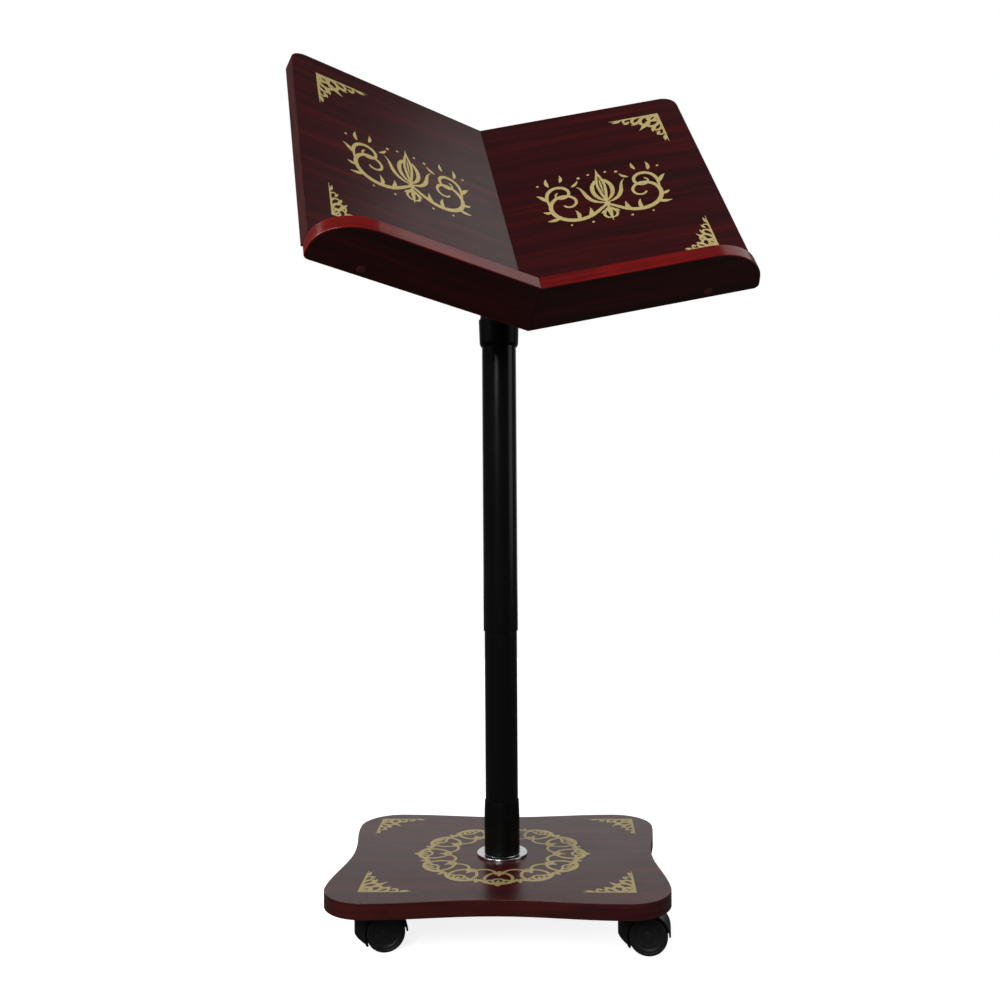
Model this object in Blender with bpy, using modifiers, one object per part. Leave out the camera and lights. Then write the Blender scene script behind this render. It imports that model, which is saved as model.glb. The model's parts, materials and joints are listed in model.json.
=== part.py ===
"""Floor stand for a large book: a V-shaped reading desk on a swivelling pole, with a castered base board.

Metres, +Z up. The front faces -Y, and the desk is turned a little towards +X at rest.
The stand is centred on the origin, on the floor.
"""

from math import cos, pi, radians, sin, tan

import bmesh
import bpy
from mathutils import Matrix, Vector

# Fits
GAP = 0.0003  # air between two pieces that touch, on each side of a pin in its hole

# Boards and their edging
BOARD_T = 0.0165
EDGING_T = 0.001

# Base board
BASE_W = 0.356
BASE_D = 0.292
BASE_CORNER_R = 0.045
BASE_WAIST = 0.0105  # how far the middle of each side is drawn in
BASE_SIDE_POINTS = 14

# Pole, from the base up
FLANGE_RIM = 0.0085  # shown round the sleeve
FLANGE_T = 0.0022
FLANGE_CHAMFER = 0.0006
LOWER_TUBE_D = 0.0365
LOWER_TUBE_WALL = 0.0012
LOWER_TUBE_L = 0.308
UPPER_TUBE_WALL = 0.0008
UPPER_TUBE_L = 0.347
JOINT_OVERLAP = 0.060
SLEEVE_WALL = 0.0012
SLEEVE_LIP_WALL = 0.0006
SLEEVE_L = 0.058
SLEEVE_TAPER_L = 0.016
FERRULE_TOP_WALL = 0.0031
FERRULE_WAIST_WALL = 0.0022
FERRULE_L = 0.031
FERRULE_TAPER_L = 0.003
FERRULE_CAP_T = 0.004
FERRULE_CHAMFER = 0.0015
JOINT_PLUG_FLANGE_T = 0.008
JOINT_PLUG_SPIGOT_L = 0.018
FOOT_PLUG_L = 0.026
BOLT_D = 0.010
BOLT_GRIP_IN_PLUG = 0.018
BOLT_HEAD_ACROSS = 0.017
BOLT_HEAD_T = 0.0064
WASHER_RIM = 0.010
WASHER_T = 0.002

# Neck of the desk
NECK_WALL = 0.002
NECK_INSERT = 0.080
BUSH_WALL = 0.0022
BUSH_L = 0.020
COLLAR_WALL = 0.005
COLLAR_T = 0.008

# Desk
DESK_TURN = radians(18.7)  # rest position of the swivel
RECLINE = radians(37.4)  # of the panels, back from upright
FOLD = radians(18.0)  # of each panel, forwards from flat
VALLEY_FORWARD = 0.115  # foot of the V, ahead of the pole's axis
VALLEY_DROP = 0.004  # foot of the V, below the top of the pole
PANEL_W = 0.240
PANEL_H = 0.317
PANEL_CORNER_R = 0.018
LEDGE_DEPTH = 0.038
LEDGE_CURVE_W = 0.054
LEDGE_CURVE_D = 0.040
LEDGE_BACK_R = 0.006

# Desk fixings
SADDLE_T = 0.003
SADDLE_REACH = 0.072
SADDLE_H = 0.120
SADDLE_CORNER_R = 0.010
SADDLE_SCREW_EDGE = 0.016
SADDLE_SCREW_D = 0.004
SADDLE_SCREW_L = 0.012  # in the wood
SADDLE_SCREW_HEAD_D = 0.008
SADDLE_SCREW_HEAD_T = 0.0024
GUSSET_T = 0.004
GUSSET_DROP = 0.050
LEDGE_SCREW_FROM_END = 0.055
LEDGE_SCREW_D = 0.005
LEDGE_SCREW_L = 0.034  # in the panel
LEDGE_SCREW_HEAD_D = 0.0088
LEDGE_SCREW_HEAD_T = 0.003
CAP_D = 0.0088
CAP_SEAT = 0.0015
CAP_PROUD = 0.0006
DOWEL_D = 0.008
DOWEL_IN_LEDGE = 0.011
DOWEL_IN_PANEL = 0.018
DOWEL_FROM_VALLEY = 0.060

# Casters
CASTER_INSET_X = 0.042
CASTER_INSET_Y = 0.051
CASTER_TRAIL = 0.0187
CASTER_TURN = {"front_left": 14, "front_right": -6, "back_left": 6, "back_right": -12}
PLATE_W = 0.040
PLATE_T = 0.002
PLATE_CORNER_R = 0.005
PLATE_HOLE_D = 0.0044
PLATE_HOLE_PITCH = 0.028
KINGPIN_D = 0.007
KINGPIN_L = 0.024
WHEEL_D = 0.040
WHEEL_T = 0.0107
WHEEL_DISH = 0.0012
WHEEL_DISH_R = 0.014
TREAD_ROUND = 0.0015
WHEEL_FACE_T = 0.0018  # left outside the axle's end
WEB_WALL = 0.0007  # beside the kingpin's bore
WHEEL_SIDE_GAP = 0.0004
HOOD_GAP = 0.0010
HOOD_WALL = 0.0020
HOOD_HEADROOM = 0.0042  # under the mounting plate
HOOD_LIP_ANGLE = radians(34)  # below the level of the axle, where the hood ends at its nose
HOOD_LIP_T = 0.0012  # beyond the gap round the wheel, at that end
HOOD_SLOPE = radians(37)  # of the nose's underside, down towards the wheel
NOSE_D = 0.025
AXLE_D = 0.005
AXLE_BOSS_D = 0.014

STEPS = 44  # round a turned piece
WHEEL_STEPS = 32
FINE_STEPS = 20  # round a small one
HOLE_STEPS = 12  # round a screw hole

# Heights and places that follow from the sizes above
PLATE_BOTTOM = WHEEL_D + HOOD_GAP + HOOD_WALL + HOOD_HEADROOM
PLATE_TOP = PLATE_BOTTOM + PLATE_T
BASE_BOTTOM = PLATE_TOP + GAP
BASE_TOP = BASE_BOTTOM + BOARD_T
FLANGE_TOP = BASE_TOP + GAP + FLANGE_T
LOWER_TUBE_BOTTOM = FLANGE_TOP + GAP
LOWER_TUBE_TOP = LOWER_TUBE_BOTTOM + LOWER_TUBE_L
LOWER_BORE_R = LOWER_TUBE_D / 2 - LOWER_TUBE_WALL
SLEEVE_R = LOWER_TUBE_D / 2 + GAP + SLEEVE_WALL
UPPER_BORE_R = LOWER_TUBE_D / 2 + GAP
UPPER_TUBE_R = UPPER_BORE_R + UPPER_TUBE_WALL
UPPER_TUBE_BOTTOM = LOWER_TUBE_TOP - JOINT_OVERLAP
POLE_TOP = UPPER_TUBE_BOTTOM + UPPER_TUBE_L
FERRULE_TOP = POLE_TOP + GAP + FERRULE_CAP_T
NECK_R = UPPER_BORE_R - GAP - BUSH_WALL - GAP
VALLEY_Z = POLE_TOP - VALLEY_DROP
SADDLE_FACE = BOARD_T + GAP  # depth of the saddle's front, behind the panels' faces
SADDLE_BACK = SADDLE_FACE + SADDLE_T
RIDGE_DEPTH = (SADDLE_BACK + GAP) / cos(FOLD)  # clear of the saddle's back, on the middle plane
AXIS_UP_VALLEY = (VALLEY_FORWARD - RIDGE_DEPTH * cos(RECLINE)) / sin(RECLINE)
SADDLE_BOTTOM = AXIS_UP_VALLEY - SADDLE_H / 2
CASTER_X = BASE_W / 2 - CASTER_INSET_X
CASTER_Y = BASE_D / 2 - CASTER_INSET_Y
WHEEL_R = WHEEL_D / 2
WEB_T = KINGPIN_D + 2 * GAP + 2 * WEB_WALL
AXLE_IN_WHEEL = WHEEL_T - WHEEL_DISH - WHEEL_FACE_T - GAP
HOOD_R = WHEEL_R + HOOD_GAP + HOOD_WALL
WHEEL_INNER = WEB_T / 2 + WHEEL_SIDE_GAP
HOOD_HALF_W = WHEEL_INNER + WHEEL_T


for old in list(bpy.data.objects):
    bpy.data.objects.remove(old)
parts = bpy.data.collections.new("book_stand")
cutters = bpy.data.collections.new("cutters")
bpy.context.scene.collection.children.link(parts)
bpy.context.scene.collection.children.link(cutters)


def material(name, colour, roughness, metallic=0.0):
    made = bpy.data.materials.new(name)
    made.use_nodes = True
    shader = made.node_tree.nodes["Principled BSDF"]
    shader.inputs["Base Color"].default_value = (*colour, 1.0)
    shader.inputs["Roughness"].default_value = roughness
    shader.inputs["Metallic"].default_value = metallic
    made.diffuse_color = (*colour, 1.0)
    return made


MAHOGANY = material("mahogany_laminate", (0.060, 0.010, 0.010), 0.30)
RED_EDGING = material("red_edging", (0.160, 0.006, 0.006), 0.18)
BROWN_EDGING = material("brown_edging", (0.080, 0.014, 0.012), 0.30)
BLACK_PAINT = material("black_paint", (0.006, 0.006, 0.006), 0.25)
BLACK_PLASTIC = material("black_plastic", (0.012, 0.013, 0.013), 0.40)
WHEEL_PLASTIC = material("wheel_plastic", (0.020, 0.021, 0.022), 0.55)
BRIGHT_STEEL = material("bright_steel", (0.700, 0.690, 0.700), 0.15, 1.0)
ZINC = material("zinc_plate", (0.500, 0.510, 0.520), 0.35, 1.0)
NYLON = material("nylon", (0.650, 0.640, 0.600), 0.50)
BEECH = material("beech", (0.550, 0.380, 0.220), 0.60)
CAP_PLASTIC = material("cap_plastic", (0.330, 0.090, 0.080), 0.40)


def frame(name, parent=None, location=(0, 0, 0), rotation=(0, 0, 0)):
    """An empty that carries the pieces of one sub-assembly."""
    empty = bpy.data.objects.new(name, None)
    empty.parent = parent
    empty.location = location
    empty.rotation_euler = rotation
    parts.objects.link(empty)
    return empty


def piece(name, mesh, parent, look, location=(0, 0, 0), rotation=(0, 0, 0)):
    made = bpy.data.objects.new(name, mesh)
    made.parent = parent
    made.location = location
    made.rotation_euler = rotation
    if not mesh.materials:
        mesh.materials.append(look)
    parts.objects.link(made)
    return made


def finished(bm, name):
    """The bmesh as a mesh, its faces pointing out and its round stretches smooth."""
    bmesh.ops.recalc_face_normals(bm, faces=bm.faces)
    mesh = bpy.data.meshes.new(name)
    bm.to_mesh(mesh)
    bm.free()
    mesh.shade_smooth()
    mesh.set_sharp_from_angle(angle=radians(30))
    return mesh


def arc(centre, radii, start, end, count):
    """Points of an elliptical arc, from angle start to angle end in degrees."""
    angles = [radians(start + (end - start) * i / count) for i in range(count + 1)]
    return [(centre[0] + radii[0] * cos(a), centre[1] + radii[1] * sin(a)) for a in angles]


def extruded(outline, axis, start, end):
    """A bmesh of a closed outline drawn out along Y, from its (x, z), or along Z, from its (x, y)."""
    bm = bmesh.new()
    if axis == "Y":
        corners = [bm.verts.new((u, start, v)) for u, v in outline]
        along = Vector((0, end - start, 0))
    else:
        corners = [bm.verts.new((u, v, start)) for u, v in outline]
        along = Vector((0, 0, end - start))
    drawn = bmesh.ops.extrude_face_region(bm, geom=[bm.faces.new(corners)])["geom"]
    bmesh.ops.translate(bm, vec=along, verts=[v for v in drawn if isinstance(v, bmesh.types.BMVert)])
    return bm


def turned(name, profile, parent, look, steps=STEPS, location=(0, 0, 0), rotation=(0, 0, 0)):
    """A piece turned about its Z from (radius, height) points, which run down its outer side.
    A profile that starts on the axis ends there too, and any other one is a closed ring."""
    mesh = bpy.data.meshes.new(name)
    last = len(profile) - 1
    edges = [(i, i + 1) for i in range(last)]
    if profile[0][0] > 0:
        edges.append((last, 0))
    mesh.from_pydata([(r, 0, z) for r, z in profile], edges, [])
    made = piece(name, mesh, parent, look, location, rotation)
    screw = made.modifiers.new("turn", "SCREW")
    screw.steps = steps
    screw.render_steps = steps
    screw.use_merge_vertices = True
    screw.merge_threshold = 0.00001
    screw.use_smooth_shade = True
    return made


def ring(outer, inner, bottom, top):
    """Profile of a plain tube."""
    return [(outer, top), (outer, bottom), (inner, bottom), (inner, top)]


def rod(radius, bottom, top):
    """Profile of a plain solid rod."""
    return [(0, top), (radius, top), (radius, bottom), (0, bottom)]


def between(start, end):
    """Matrix that takes the Z axis from its middle onto the line from start to end."""
    start, end = Vector(start), Vector(end)
    turn = (end - start).to_track_quat("Z", "Y").to_matrix().to_4x4()
    return Matrix.Translation((start + end) / 2) @ turn


def cylinder(radius, start, end, steps=FINE_STEPS):
    """A bmesh of a solid cylinder from point start to point end."""
    bm = bmesh.new()
    depth = (Vector(end) - Vector(start)).length
    bmesh.ops.create_cone(
        bm, cap_ends=True, segments=steps, radius1=radius, radius2=radius, depth=depth,
        matrix=between(start, end),
    )
    return bm


def combine(target, bm, operation="DIFFERENCE"):
    """Cuts the bmesh's shape from the target, or joins it on. The shape is in the target's own frame."""
    name = f"{target.name}_{operation.lower()}_{len(target.modifiers)}"
    tool = bpy.data.objects.new(name, finished(bm, name))
    tool.parent = target.parent
    tool.location = target.location
    tool.rotation_euler = target.rotation_euler
    tool.hide_render = True
    tool.display_type = "WIRE"
    cutters.objects.link(tool)
    boolean = target.modifiers.new(name, "BOOLEAN")
    boolean.operation = operation
    boolean.solver = "EXACT"
    boolean.object = tool


def drill(target, diameter, start, end, steps=FINE_STEPS):
    """A round hole, a gap wider all round than the pin of that diameter."""
    combine(target, cylinder(diameter / 2 + GAP, start, end, steps))


# ---------------------------------------------------------------- base board


def base_outline(inset):
    """The base's outline, that far inside its edging. Each side is drawn in by a smooth wave."""
    half_w, half_d = BASE_W / 2, BASE_D / 2
    flat_w, flat_d = half_w - BASE_CORNER_R, half_d - BASE_CORNER_R

    def side(flat, reach):
        """(along, out) points of one side, from -flat to +flat."""
        steps = [flat * (2 * i / BASE_SIDE_POINTS - 1) for i in range(1, BASE_SIDE_POINTS)]
        return [(u, reach - inset - BASE_WAIST * (1 + cos(pi * u / flat)) / 2) for u in steps]

    def corner(sign_x, sign_y, start):
        centre = (sign_x * flat_w, sign_y * flat_d)
        radius = BASE_CORNER_R - inset
        return arc(centre, (radius, radius), start, start + 90, 10)

    outline = corner(1, 1, 0) + [(-u, out) for u, out in side(flat_w, half_d)]
    outline += corner(-1, 1, 90) + [(-out, -u) for u, out in side(flat_d, half_w)]
    outline += corner(-1, -1, 180) + [(u, -out) for u, out in side(flat_w, half_d)]
    outline += corner(1, -1, 270) + [(out, u) for u, out in side(flat_d, half_w)]
    return outline


def make_base(parent):
    core = extruded(base_outline(EDGING_T + GAP), "Z", BASE_BOTTOM, BASE_TOP)
    board = piece("base_board", finished(core, "base_board"), parent, MAHOGANY)
    drill(board, BOLT_D, (0, 0, BASE_BOTTOM - BOARD_T), (0, 0, BASE_TOP + BOARD_T))

    wall = extruded(base_outline(0), "Z", BASE_BOTTOM, BASE_TOP)
    band = piece("base_edge_band", finished(wall, "base_edge_band"), parent, BROWN_EDGING)
    inside = extruded(base_outline(EDGING_T), "Z", BASE_BOTTOM - BOARD_T, BASE_TOP + BOARD_T)
    combine(band, inside)


# ---------------------------------------------------------------------- pole


def make_pole(parent):
    flange_r = SLEEVE_R + FLANGE_RIM
    bolt_hole_r = BOLT_D / 2 + GAP
    low = BASE_TOP + GAP
    plate = [
        (flange_r - FLANGE_CHAMFER, FLANGE_TOP),
        (flange_r, FLANGE_TOP - FLANGE_CHAMFER),
        (flange_r, low),
        (bolt_hole_r, low),
        (bolt_hole_r, FLANGE_TOP),
    ]
    turned("foot_flange", plate, parent, BRIGHT_STEEL)

    tube = ring(LOWER_TUBE_D / 2, LOWER_BORE_R, LOWER_TUBE_BOTTOM, LOWER_TUBE_TOP)
    turned("lower_tube", tube, parent, BLACK_PAINT)
    tube = ring(UPPER_TUBE_R, UPPER_BORE_R, UPPER_TUBE_BOTTOM, POLE_TOP)
    turned("upper_tube", tube, parent, BLACK_PAINT)

    bore_r = LOWER_TUBE_D / 2 + GAP
    top = LOWER_TUBE_BOTTOM + SLEEVE_L
    sleeve = [
        (bore_r + SLEEVE_LIP_WALL, top),
        (SLEEVE_R, top - SLEEVE_TAPER_L),
        (SLEEVE_R, LOWER_TUBE_BOTTOM),
        (bore_r, LOWER_TUBE_BOTTOM),
        (bore_r, top),
    ]
    turned("foot_sleeve", sleeve, parent, BLACK_PLASTIC)

    plug = ring(LOWER_BORE_R - GAP, bolt_hole_r, LOWER_TUBE_BOTTOM, LOWER_TUBE_BOTTOM + FOOT_PLUG_L)
    turned("foot_plug", plug, parent, ZINC)

    washer_top = BASE_BOTTOM - GAP
    washer_bottom = washer_top - WASHER_T
    turned("base_washer", ring(bolt_hole_r + WASHER_RIM, bolt_hole_r, washer_bottom, washer_top), parent, ZINC)
    head_top = washer_bottom - GAP
    bolt_top = LOWER_TUBE_BOTTOM + BOLT_GRIP_IN_PLUG
    turned("base_bolt", rod(BOLT_D / 2, head_top - BOLT_HEAD_T / 2, bolt_top), parent, ZINC, FINE_STEPS)
    hexagon = cylinder(
        BOLT_HEAD_ACROSS / 2 / cos(pi / 6), (0, 0, head_top - BOLT_HEAD_T), (0, 0, head_top), 6
    )
    combine(bpy.data.objects["base_bolt"], hexagon, "UNION")

    seat = LOWER_TUBE_TOP + GAP
    plug = [
        (0, seat + JOINT_PLUG_FLANGE_T),
        (UPPER_BORE_R - GAP, seat + JOINT_PLUG_FLANGE_T),
        (UPPER_BORE_R - GAP, seat),
        (LOWER_BORE_R - GAP, seat),
        (LOWER_BORE_R - GAP, seat - JOINT_PLUG_SPIGOT_L),
        (0, seat - JOINT_PLUG_SPIGOT_L),
    ]
    turned("joint_plug", plug, parent, NYLON)

    neck_hole_r = NECK_R + GAP
    skirt_r = UPPER_TUBE_R + GAP
    bottom = FERRULE_TOP - FERRULE_L
    ferrule = [
        (skirt_r + FERRULE_TOP_WALL - FERRULE_CHAMFER, FERRULE_TOP),
        (skirt_r + FERRULE_TOP_WALL, FERRULE_TOP - FERRULE_CHAMFER),
        (skirt_r + FERRULE_WAIST_WALL, bottom + FERRULE_TAPER_L),
        (skirt_r + SLEEVE_LIP_WALL, bottom),
        (skirt_r, bottom),
        (skirt_r, POLE_TOP + GAP),
        (neck_hole_r, POLE_TOP + GAP),
        (neck_hole_r, FERRULE_TOP),
    ]
    turned("top_ferrule", ferrule, parent, BLACK_PLASTIC)
    bush_bottom = POLE_TOP - NECK_INSERT
    bush = ring(UPPER_BORE_R - GAP, neck_hole_r, bush_bottom, bush_bottom + BUSH_L)
    turned("neck_bush", bush, parent, NYLON)


# ---------------------------------------------------------------------- desk


def panel_edge(inset):
    """(x, z) points up from the valley's top, round the outer corner and down to the ledge."""
    radius = PANEL_CORNER_R - inset
    centre = (PANEL_W - PANEL_CORNER_R, PANEL_H - PANEL_CORNER_R)
    past_valley = -BOARD_T
    curve = arc(centre, (radius, radius), 90, 0, 10)
    return [(past_valley, PANEL_H - inset), *curve, (PANEL_W - inset, GAP)]


def ledge_edge(inset):
    """(x, y) points along the ledge's front, round its outer end and back along its rear."""
    past_valley = -BOARD_T
    front = arc(
        (PANEL_W - LEDGE_CURVE_W, LEDGE_CURVE_D - LEDGE_DEPTH),
        (LEDGE_CURVE_W - inset, LEDGE_CURVE_D - inset), -90, 0, 14,
    )
    radius = LEDGE_BACK_R - inset
    back = arc((PANEL_W - LEDGE_BACK_R, BOARD_T - LEDGE_BACK_R), (radius, radius), 0, 90, 6)
    return [(past_valley, inset - LEDGE_DEPTH), *front, *back, (past_valley, BOARD_T - inset)]


def on_side(bm, side, name):
    """Cuts the shape off at the desk's middle plane, and mirrors it for the left side."""
    cut = bmesh.ops.bisect_plane(
        bm, geom=[*bm.verts, *bm.edges, *bm.faces],
        plane_co=Vector((cos(FOLD), sin(FOLD), 0)) * GAP / 2, plane_no=(cos(FOLD), sin(FOLD), 0),
        clear_inner=True,
    )["geom_cut"]
    bmesh.ops.holes_fill(bm, edges=[e for e in cut if isinstance(e, bmesh.types.BMEdge)], sides=0)
    bmesh.ops.scale(bm, vec=(side, 1, 1), verts=bm.verts)
    return finished(bm, name)


def make_half(name, side, parent):
    """One panel with its ledge. x runs out from the valley, y from the face to the back, z up the panel."""
    half = frame(f"{name}_half", parent, rotation=(0, 0, -side * FOLD))
    middle = BOARD_T / 2
    screw_x = side * (PANEL_W - LEDGE_SCREW_FROM_END)
    dowel_x = side * DOWEL_FROM_VALLEY
    inside = EDGING_T + GAP

    outline = [*panel_edge(inside), (-BOARD_T, GAP)]
    panel_mesh = on_side(extruded(outline, "Y", 0, BOARD_T), side, f"{name}_panel")
    panel = piece(f"{name}_panel", panel_mesh, half, MAHOGANY)
    outline = [*panel_edge(0), *reversed(panel_edge(EDGING_T))]
    mesh = on_side(extruded(outline, "Y", 0, BOARD_T), side, f"{name}_panel_edge_band")
    piece(f"{name}_panel_edge_band", mesh, half, BROWN_EDGING)
    mesh = on_side(extruded(ledge_edge(inside), "Z", -BOARD_T, 0), side, f"{name}_ledge")
    ledge = piece(f"{name}_ledge", mesh, half, MAHOGANY)
    outline = [*ledge_edge(0), *reversed(ledge_edge(EDGING_T))]
    mesh = on_side(extruded(outline, "Z", -BOARD_T, 0), side, f"{name}_ledge_edge_band")
    piece(f"{name}_ledge_edge_band", mesh, half, RED_EDGING)

    # Screw up through the ledge into the panel's lower edge, under a press-on cap
    head_bottom = CAP_SEAT + GAP - BOARD_T
    head_top = head_bottom + LEDGE_SCREW_HEAD_T
    screw = [
        (0, LEDGE_SCREW_L),
        (LEDGE_SCREW_D / 4, LEDGE_SCREW_L),
        (LEDGE_SCREW_D / 2, LEDGE_SCREW_L - LEDGE_SCREW_D / 2),
        (LEDGE_SCREW_D / 2, head_top),
        (LEDGE_SCREW_HEAD_D / 2, head_top),
        (LEDGE_SCREW_HEAD_D / 2, head_bottom),
        (0, head_bottom),
    ]
    place = (screw_x, middle, 0)
    turned(f"{name}_ledge_screw", screw, half, ZINC, FINE_STEPS, place)
    cap = [
        (0, CAP_SEAT - BOARD_T),
        (CAP_D / 2, CAP_SEAT - BOARD_T),
        (CAP_D / 2, -BOARD_T - CAP_PROUD / 3),
        (CAP_D / 2 - CAP_PROUD, -BOARD_T - CAP_PROUD),
        (0, -BOARD_T - CAP_PROUD),
    ]
    turned(f"{name}_screw_cap", cap, half, CAP_PLASTIC, FINE_STEPS, place)
    below = -2 * BOARD_T
    drill(ledge, LEDGE_SCREW_HEAD_D, (screw_x, middle, below), (screw_x, middle, head_top + GAP))
    drill(ledge, LEDGE_SCREW_D, (screw_x, middle, below), (screw_x, middle, BOARD_T))
    drill(panel, LEDGE_SCREW_D, (screw_x, middle, -BOARD_T), (screw_x, middle, LEDGE_SCREW_L + GAP))

    # Dowel between the ledge and the panel
    dowel = rod(DOWEL_D / 2, -DOWEL_IN_LEDGE, DOWEL_IN_PANEL)
    turned(f"{name}_ledge_dowel", dowel, half, BEECH, FINE_STEPS, (dowel_x, middle, 0))
    drill(ledge, DOWEL_D, (dowel_x, middle, -DOWEL_IN_LEDGE - GAP), (dowel_x, middle, BOARD_T))
    drill(panel, DOWEL_D, (dowel_x, middle, -BOARD_T), (dowel_x, middle, DOWEL_IN_PANEL + GAP))

    # Wood screws that hold the saddle to the panel's back
    head_r = SADDLE_SCREW_HEAD_D / 2
    screw = [
        (0, SADDLE_SCREW_HEAD_T),
        (head_r / 2, SADDLE_SCREW_HEAD_T),
        (head_r, SADDLE_SCREW_HEAD_T / 3),
        (head_r, 0),
        (SADDLE_SCREW_D / 2, 0),
        (SADDLE_SCREW_D / 2, -SADDLE_T - SADDLE_SCREW_L + SADDLE_SCREW_D),
        (0, -SADDLE_T - SADDLE_SCREW_L),
    ]
    saddle = bpy.data.objects["saddle_plate"]
    x = side * (SADDLE_REACH - SADDLE_SCREW_EDGE)
    lower = SADDLE_BOTTOM + SADDLE_SCREW_EDGE
    upper = SADDLE_BOTTOM + SADDLE_H - SADDLE_SCREW_EDGE
    to_saddle = Matrix.Rotation(-side * FOLD, 4, "Z")
    for label, z in (("lower", lower), ("upper", upper)):
        under_head = (x, SADDLE_BACK + GAP, z)
        turned(f"{name}_{label}_saddle_screw", screw, half, ZINC, FINE_STEPS, under_head, (-pi / 2, 0, 0))
        tip = (x, SADDLE_FACE - SADDLE_SCREW_L - GAP, z)
        behind = (x, SADDLE_BACK + BOARD_T, z)
        drill(panel, SADDLE_SCREW_D, tip, behind, HOLE_STEPS)
        drill(saddle, SADDLE_SCREW_D, to_saddle @ Vector(tip), to_saddle @ Vector(behind), HOLE_STEPS)


def across_fold(out, depth):
    """A point that far out along the right panel and that deep behind its face, in the desk's frame."""
    return (out * cos(FOLD) + depth * sin(FOLD), depth * cos(FOLD) - out * sin(FOLD))


def make_saddle(parent):
    """A plate bent over the V's ridge, with rounded corners."""
    right = [
        (0, SADDLE_FACE / cos(FOLD)),
        across_fold(SADDLE_REACH, SADDLE_FACE),
        across_fold(SADDLE_REACH, SADDLE_BACK),
    ]
    left = [(-x, y) for x, y in reversed(right[1:])]
    outline = [*right, (0, SADDLE_BACK / cos(FOLD)), *left]
    bm = extruded(outline, "Z", SADDLE_BOTTOM, SADDLE_BOTTOM + SADDLE_H)
    tip = across_fold(SADDLE_REACH, SADDLE_FACE)[0] - GAP
    corners = []
    for edge in bm.edges:
        a, b = (v.co for v in edge.verts)
        if abs(a.z - b.z) < GAP and min(abs(a.x), abs(b.x)) > tip:
            corners.append(edge)
    bmesh.ops.bevel(bm, geom=corners, offset=SADDLE_CORNER_R, segments=5, profile=0.5, affect="EDGES")
    return piece("saddle_plate", finished(bm, "saddle_plate"), parent, BLACK_PAINT)


def in_swivel(depth, up):
    """(y, z) about the pole's axis of a point on the desk's middle plane."""
    y = depth * cos(RECLINE) + up * sin(RECLINE) - VALLEY_FORWARD
    z = up * cos(RECLINE) - depth * sin(RECLINE) + VALLEY_Z
    return y, z


def make_neck(parent):
    """The tube that turns in the pole, cut to the saddle's back, its stop collar and its gusset."""
    bottom = POLE_TOP - NECK_INSERT
    past_saddle = in_swivel(RIDGE_DEPTH, AXIS_UP_VALLEY + 2 * NECK_R)[1]
    neck = turned("neck_tube", ring(NECK_R, NECK_R - NECK_WALL, bottom, past_saddle), parent, BLACK_PAINT)
    reach = 6 * NECK_R
    ahead = -6 * NECK_R
    right = [across_fold(reach, SADDLE_BACK + GAP), (reach, ahead)]
    wedge = [(0, RIDGE_DEPTH), *right, *[(-x, y) for x, y in reversed(right)]]
    bm = extruded(wedge, "Z", SADDLE_BOTTOM, SADDLE_BOTTOM + 2 * SADDLE_H)
    tilt = Matrix.Translation((0, -VALLEY_FORWARD, VALLEY_Z)) @ Matrix.Rotation(-RECLINE, 4, "X")
    bmesh.ops.transform(bm, matrix=tilt, verts=bm.verts)
    combine(neck, bm)

    collar_bottom = FERRULE_TOP + GAP
    collar = ring(NECK_R + GAP + COLLAR_WALL, NECK_R + GAP, collar_bottom, collar_bottom + COLLAR_T)
    turned("neck_collar", collar, parent, BLACK_PAINT)

    near = NECK_R + GAP
    up_at_near = (near + VALLEY_FORWARD - RIDGE_DEPTH * cos(RECLINE)) / sin(RECLINE)
    inner = in_swivel(RIDGE_DEPTH, up_at_near)
    outer = in_swivel(RIDGE_DEPTH, SADDLE_BOTTOM + SADDLE_H - SADDLE_CORNER_R)
    triangle = [(near, inner[1] - GUSSET_DROP), inner, outer]
    bm = extruded(triangle, "Y", -GUSSET_T / 2, GUSSET_T / 2)
    mesh = finished(bm, "neck_gusset")
    piece("neck_gusset", mesh, parent, BLACK_PAINT, rotation=(0, 0, pi / 2))


# -------------------------------------------------------------------- casters


def caster_hood(name, parent):
    """Hood, web and kingpin boss in one moulding. The axle is behind the kingpin, and the nose ahead of it."""
    axle = (CASTER_TRAIL, 0, WHEEL_R)
    side = Vector((0, HOOD_HALF_W, 0))
    shell = cylinder(HOOD_R, Vector(axle) - side, Vector(axle) + side, STEPS)
    hood = piece(name, finished(shell, name), parent, BLACK_PLASTIC)
    top = PLATE_BOTTOM - 2 * GAP
    combine(hood, cylinder(NOSE_D / 2, (0, 0, WHEEL_R / 2), (0, 0, top), WHEEL_STEPS), "UNION")
    far = 2 * HOOD_R
    lip_r = WHEEL_R + HOOD_GAP + HOOD_LIP_T
    lip_x = CASTER_TRAIL - lip_r * cos(HOOD_LIP_ANGLE)
    lip_z = WHEEL_R - lip_r * sin(HOOD_LIP_ANGLE)
    under = [
        (-far, -far),
        (far, -far),
        (far, WHEEL_R),
        (CASTER_TRAIL, WHEEL_R),
        (lip_x, lip_z),
        (-far, lip_z + tan(HOOD_SLOPE) * (lip_x + far)),
    ]
    combine(hood, extruded(under, "Y", -far, far))
    web = Vector((0, WEB_T / 2, 0))
    combine(hood, cylinder(AXLE_BOSS_D / 2, Vector(axle) - web, Vector(axle) + web), "UNION")
    for direction in (-1, 1):
        inner = Vector(axle) + direction * web
        outer = Vector(axle) + Vector((0, direction * far, 0))
        combine(hood, cylinder(WHEEL_R + HOOD_GAP, inner, outer, STEPS))
    drill(hood, AXLE_D, Vector(axle) - side, Vector(axle) + side)
    pin_bottom = PLATE_TOP - KINGPIN_L
    drill(hood, KINGPIN_D, (0, 0, pin_bottom - GAP), (0, 0, PLATE_TOP))


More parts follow.
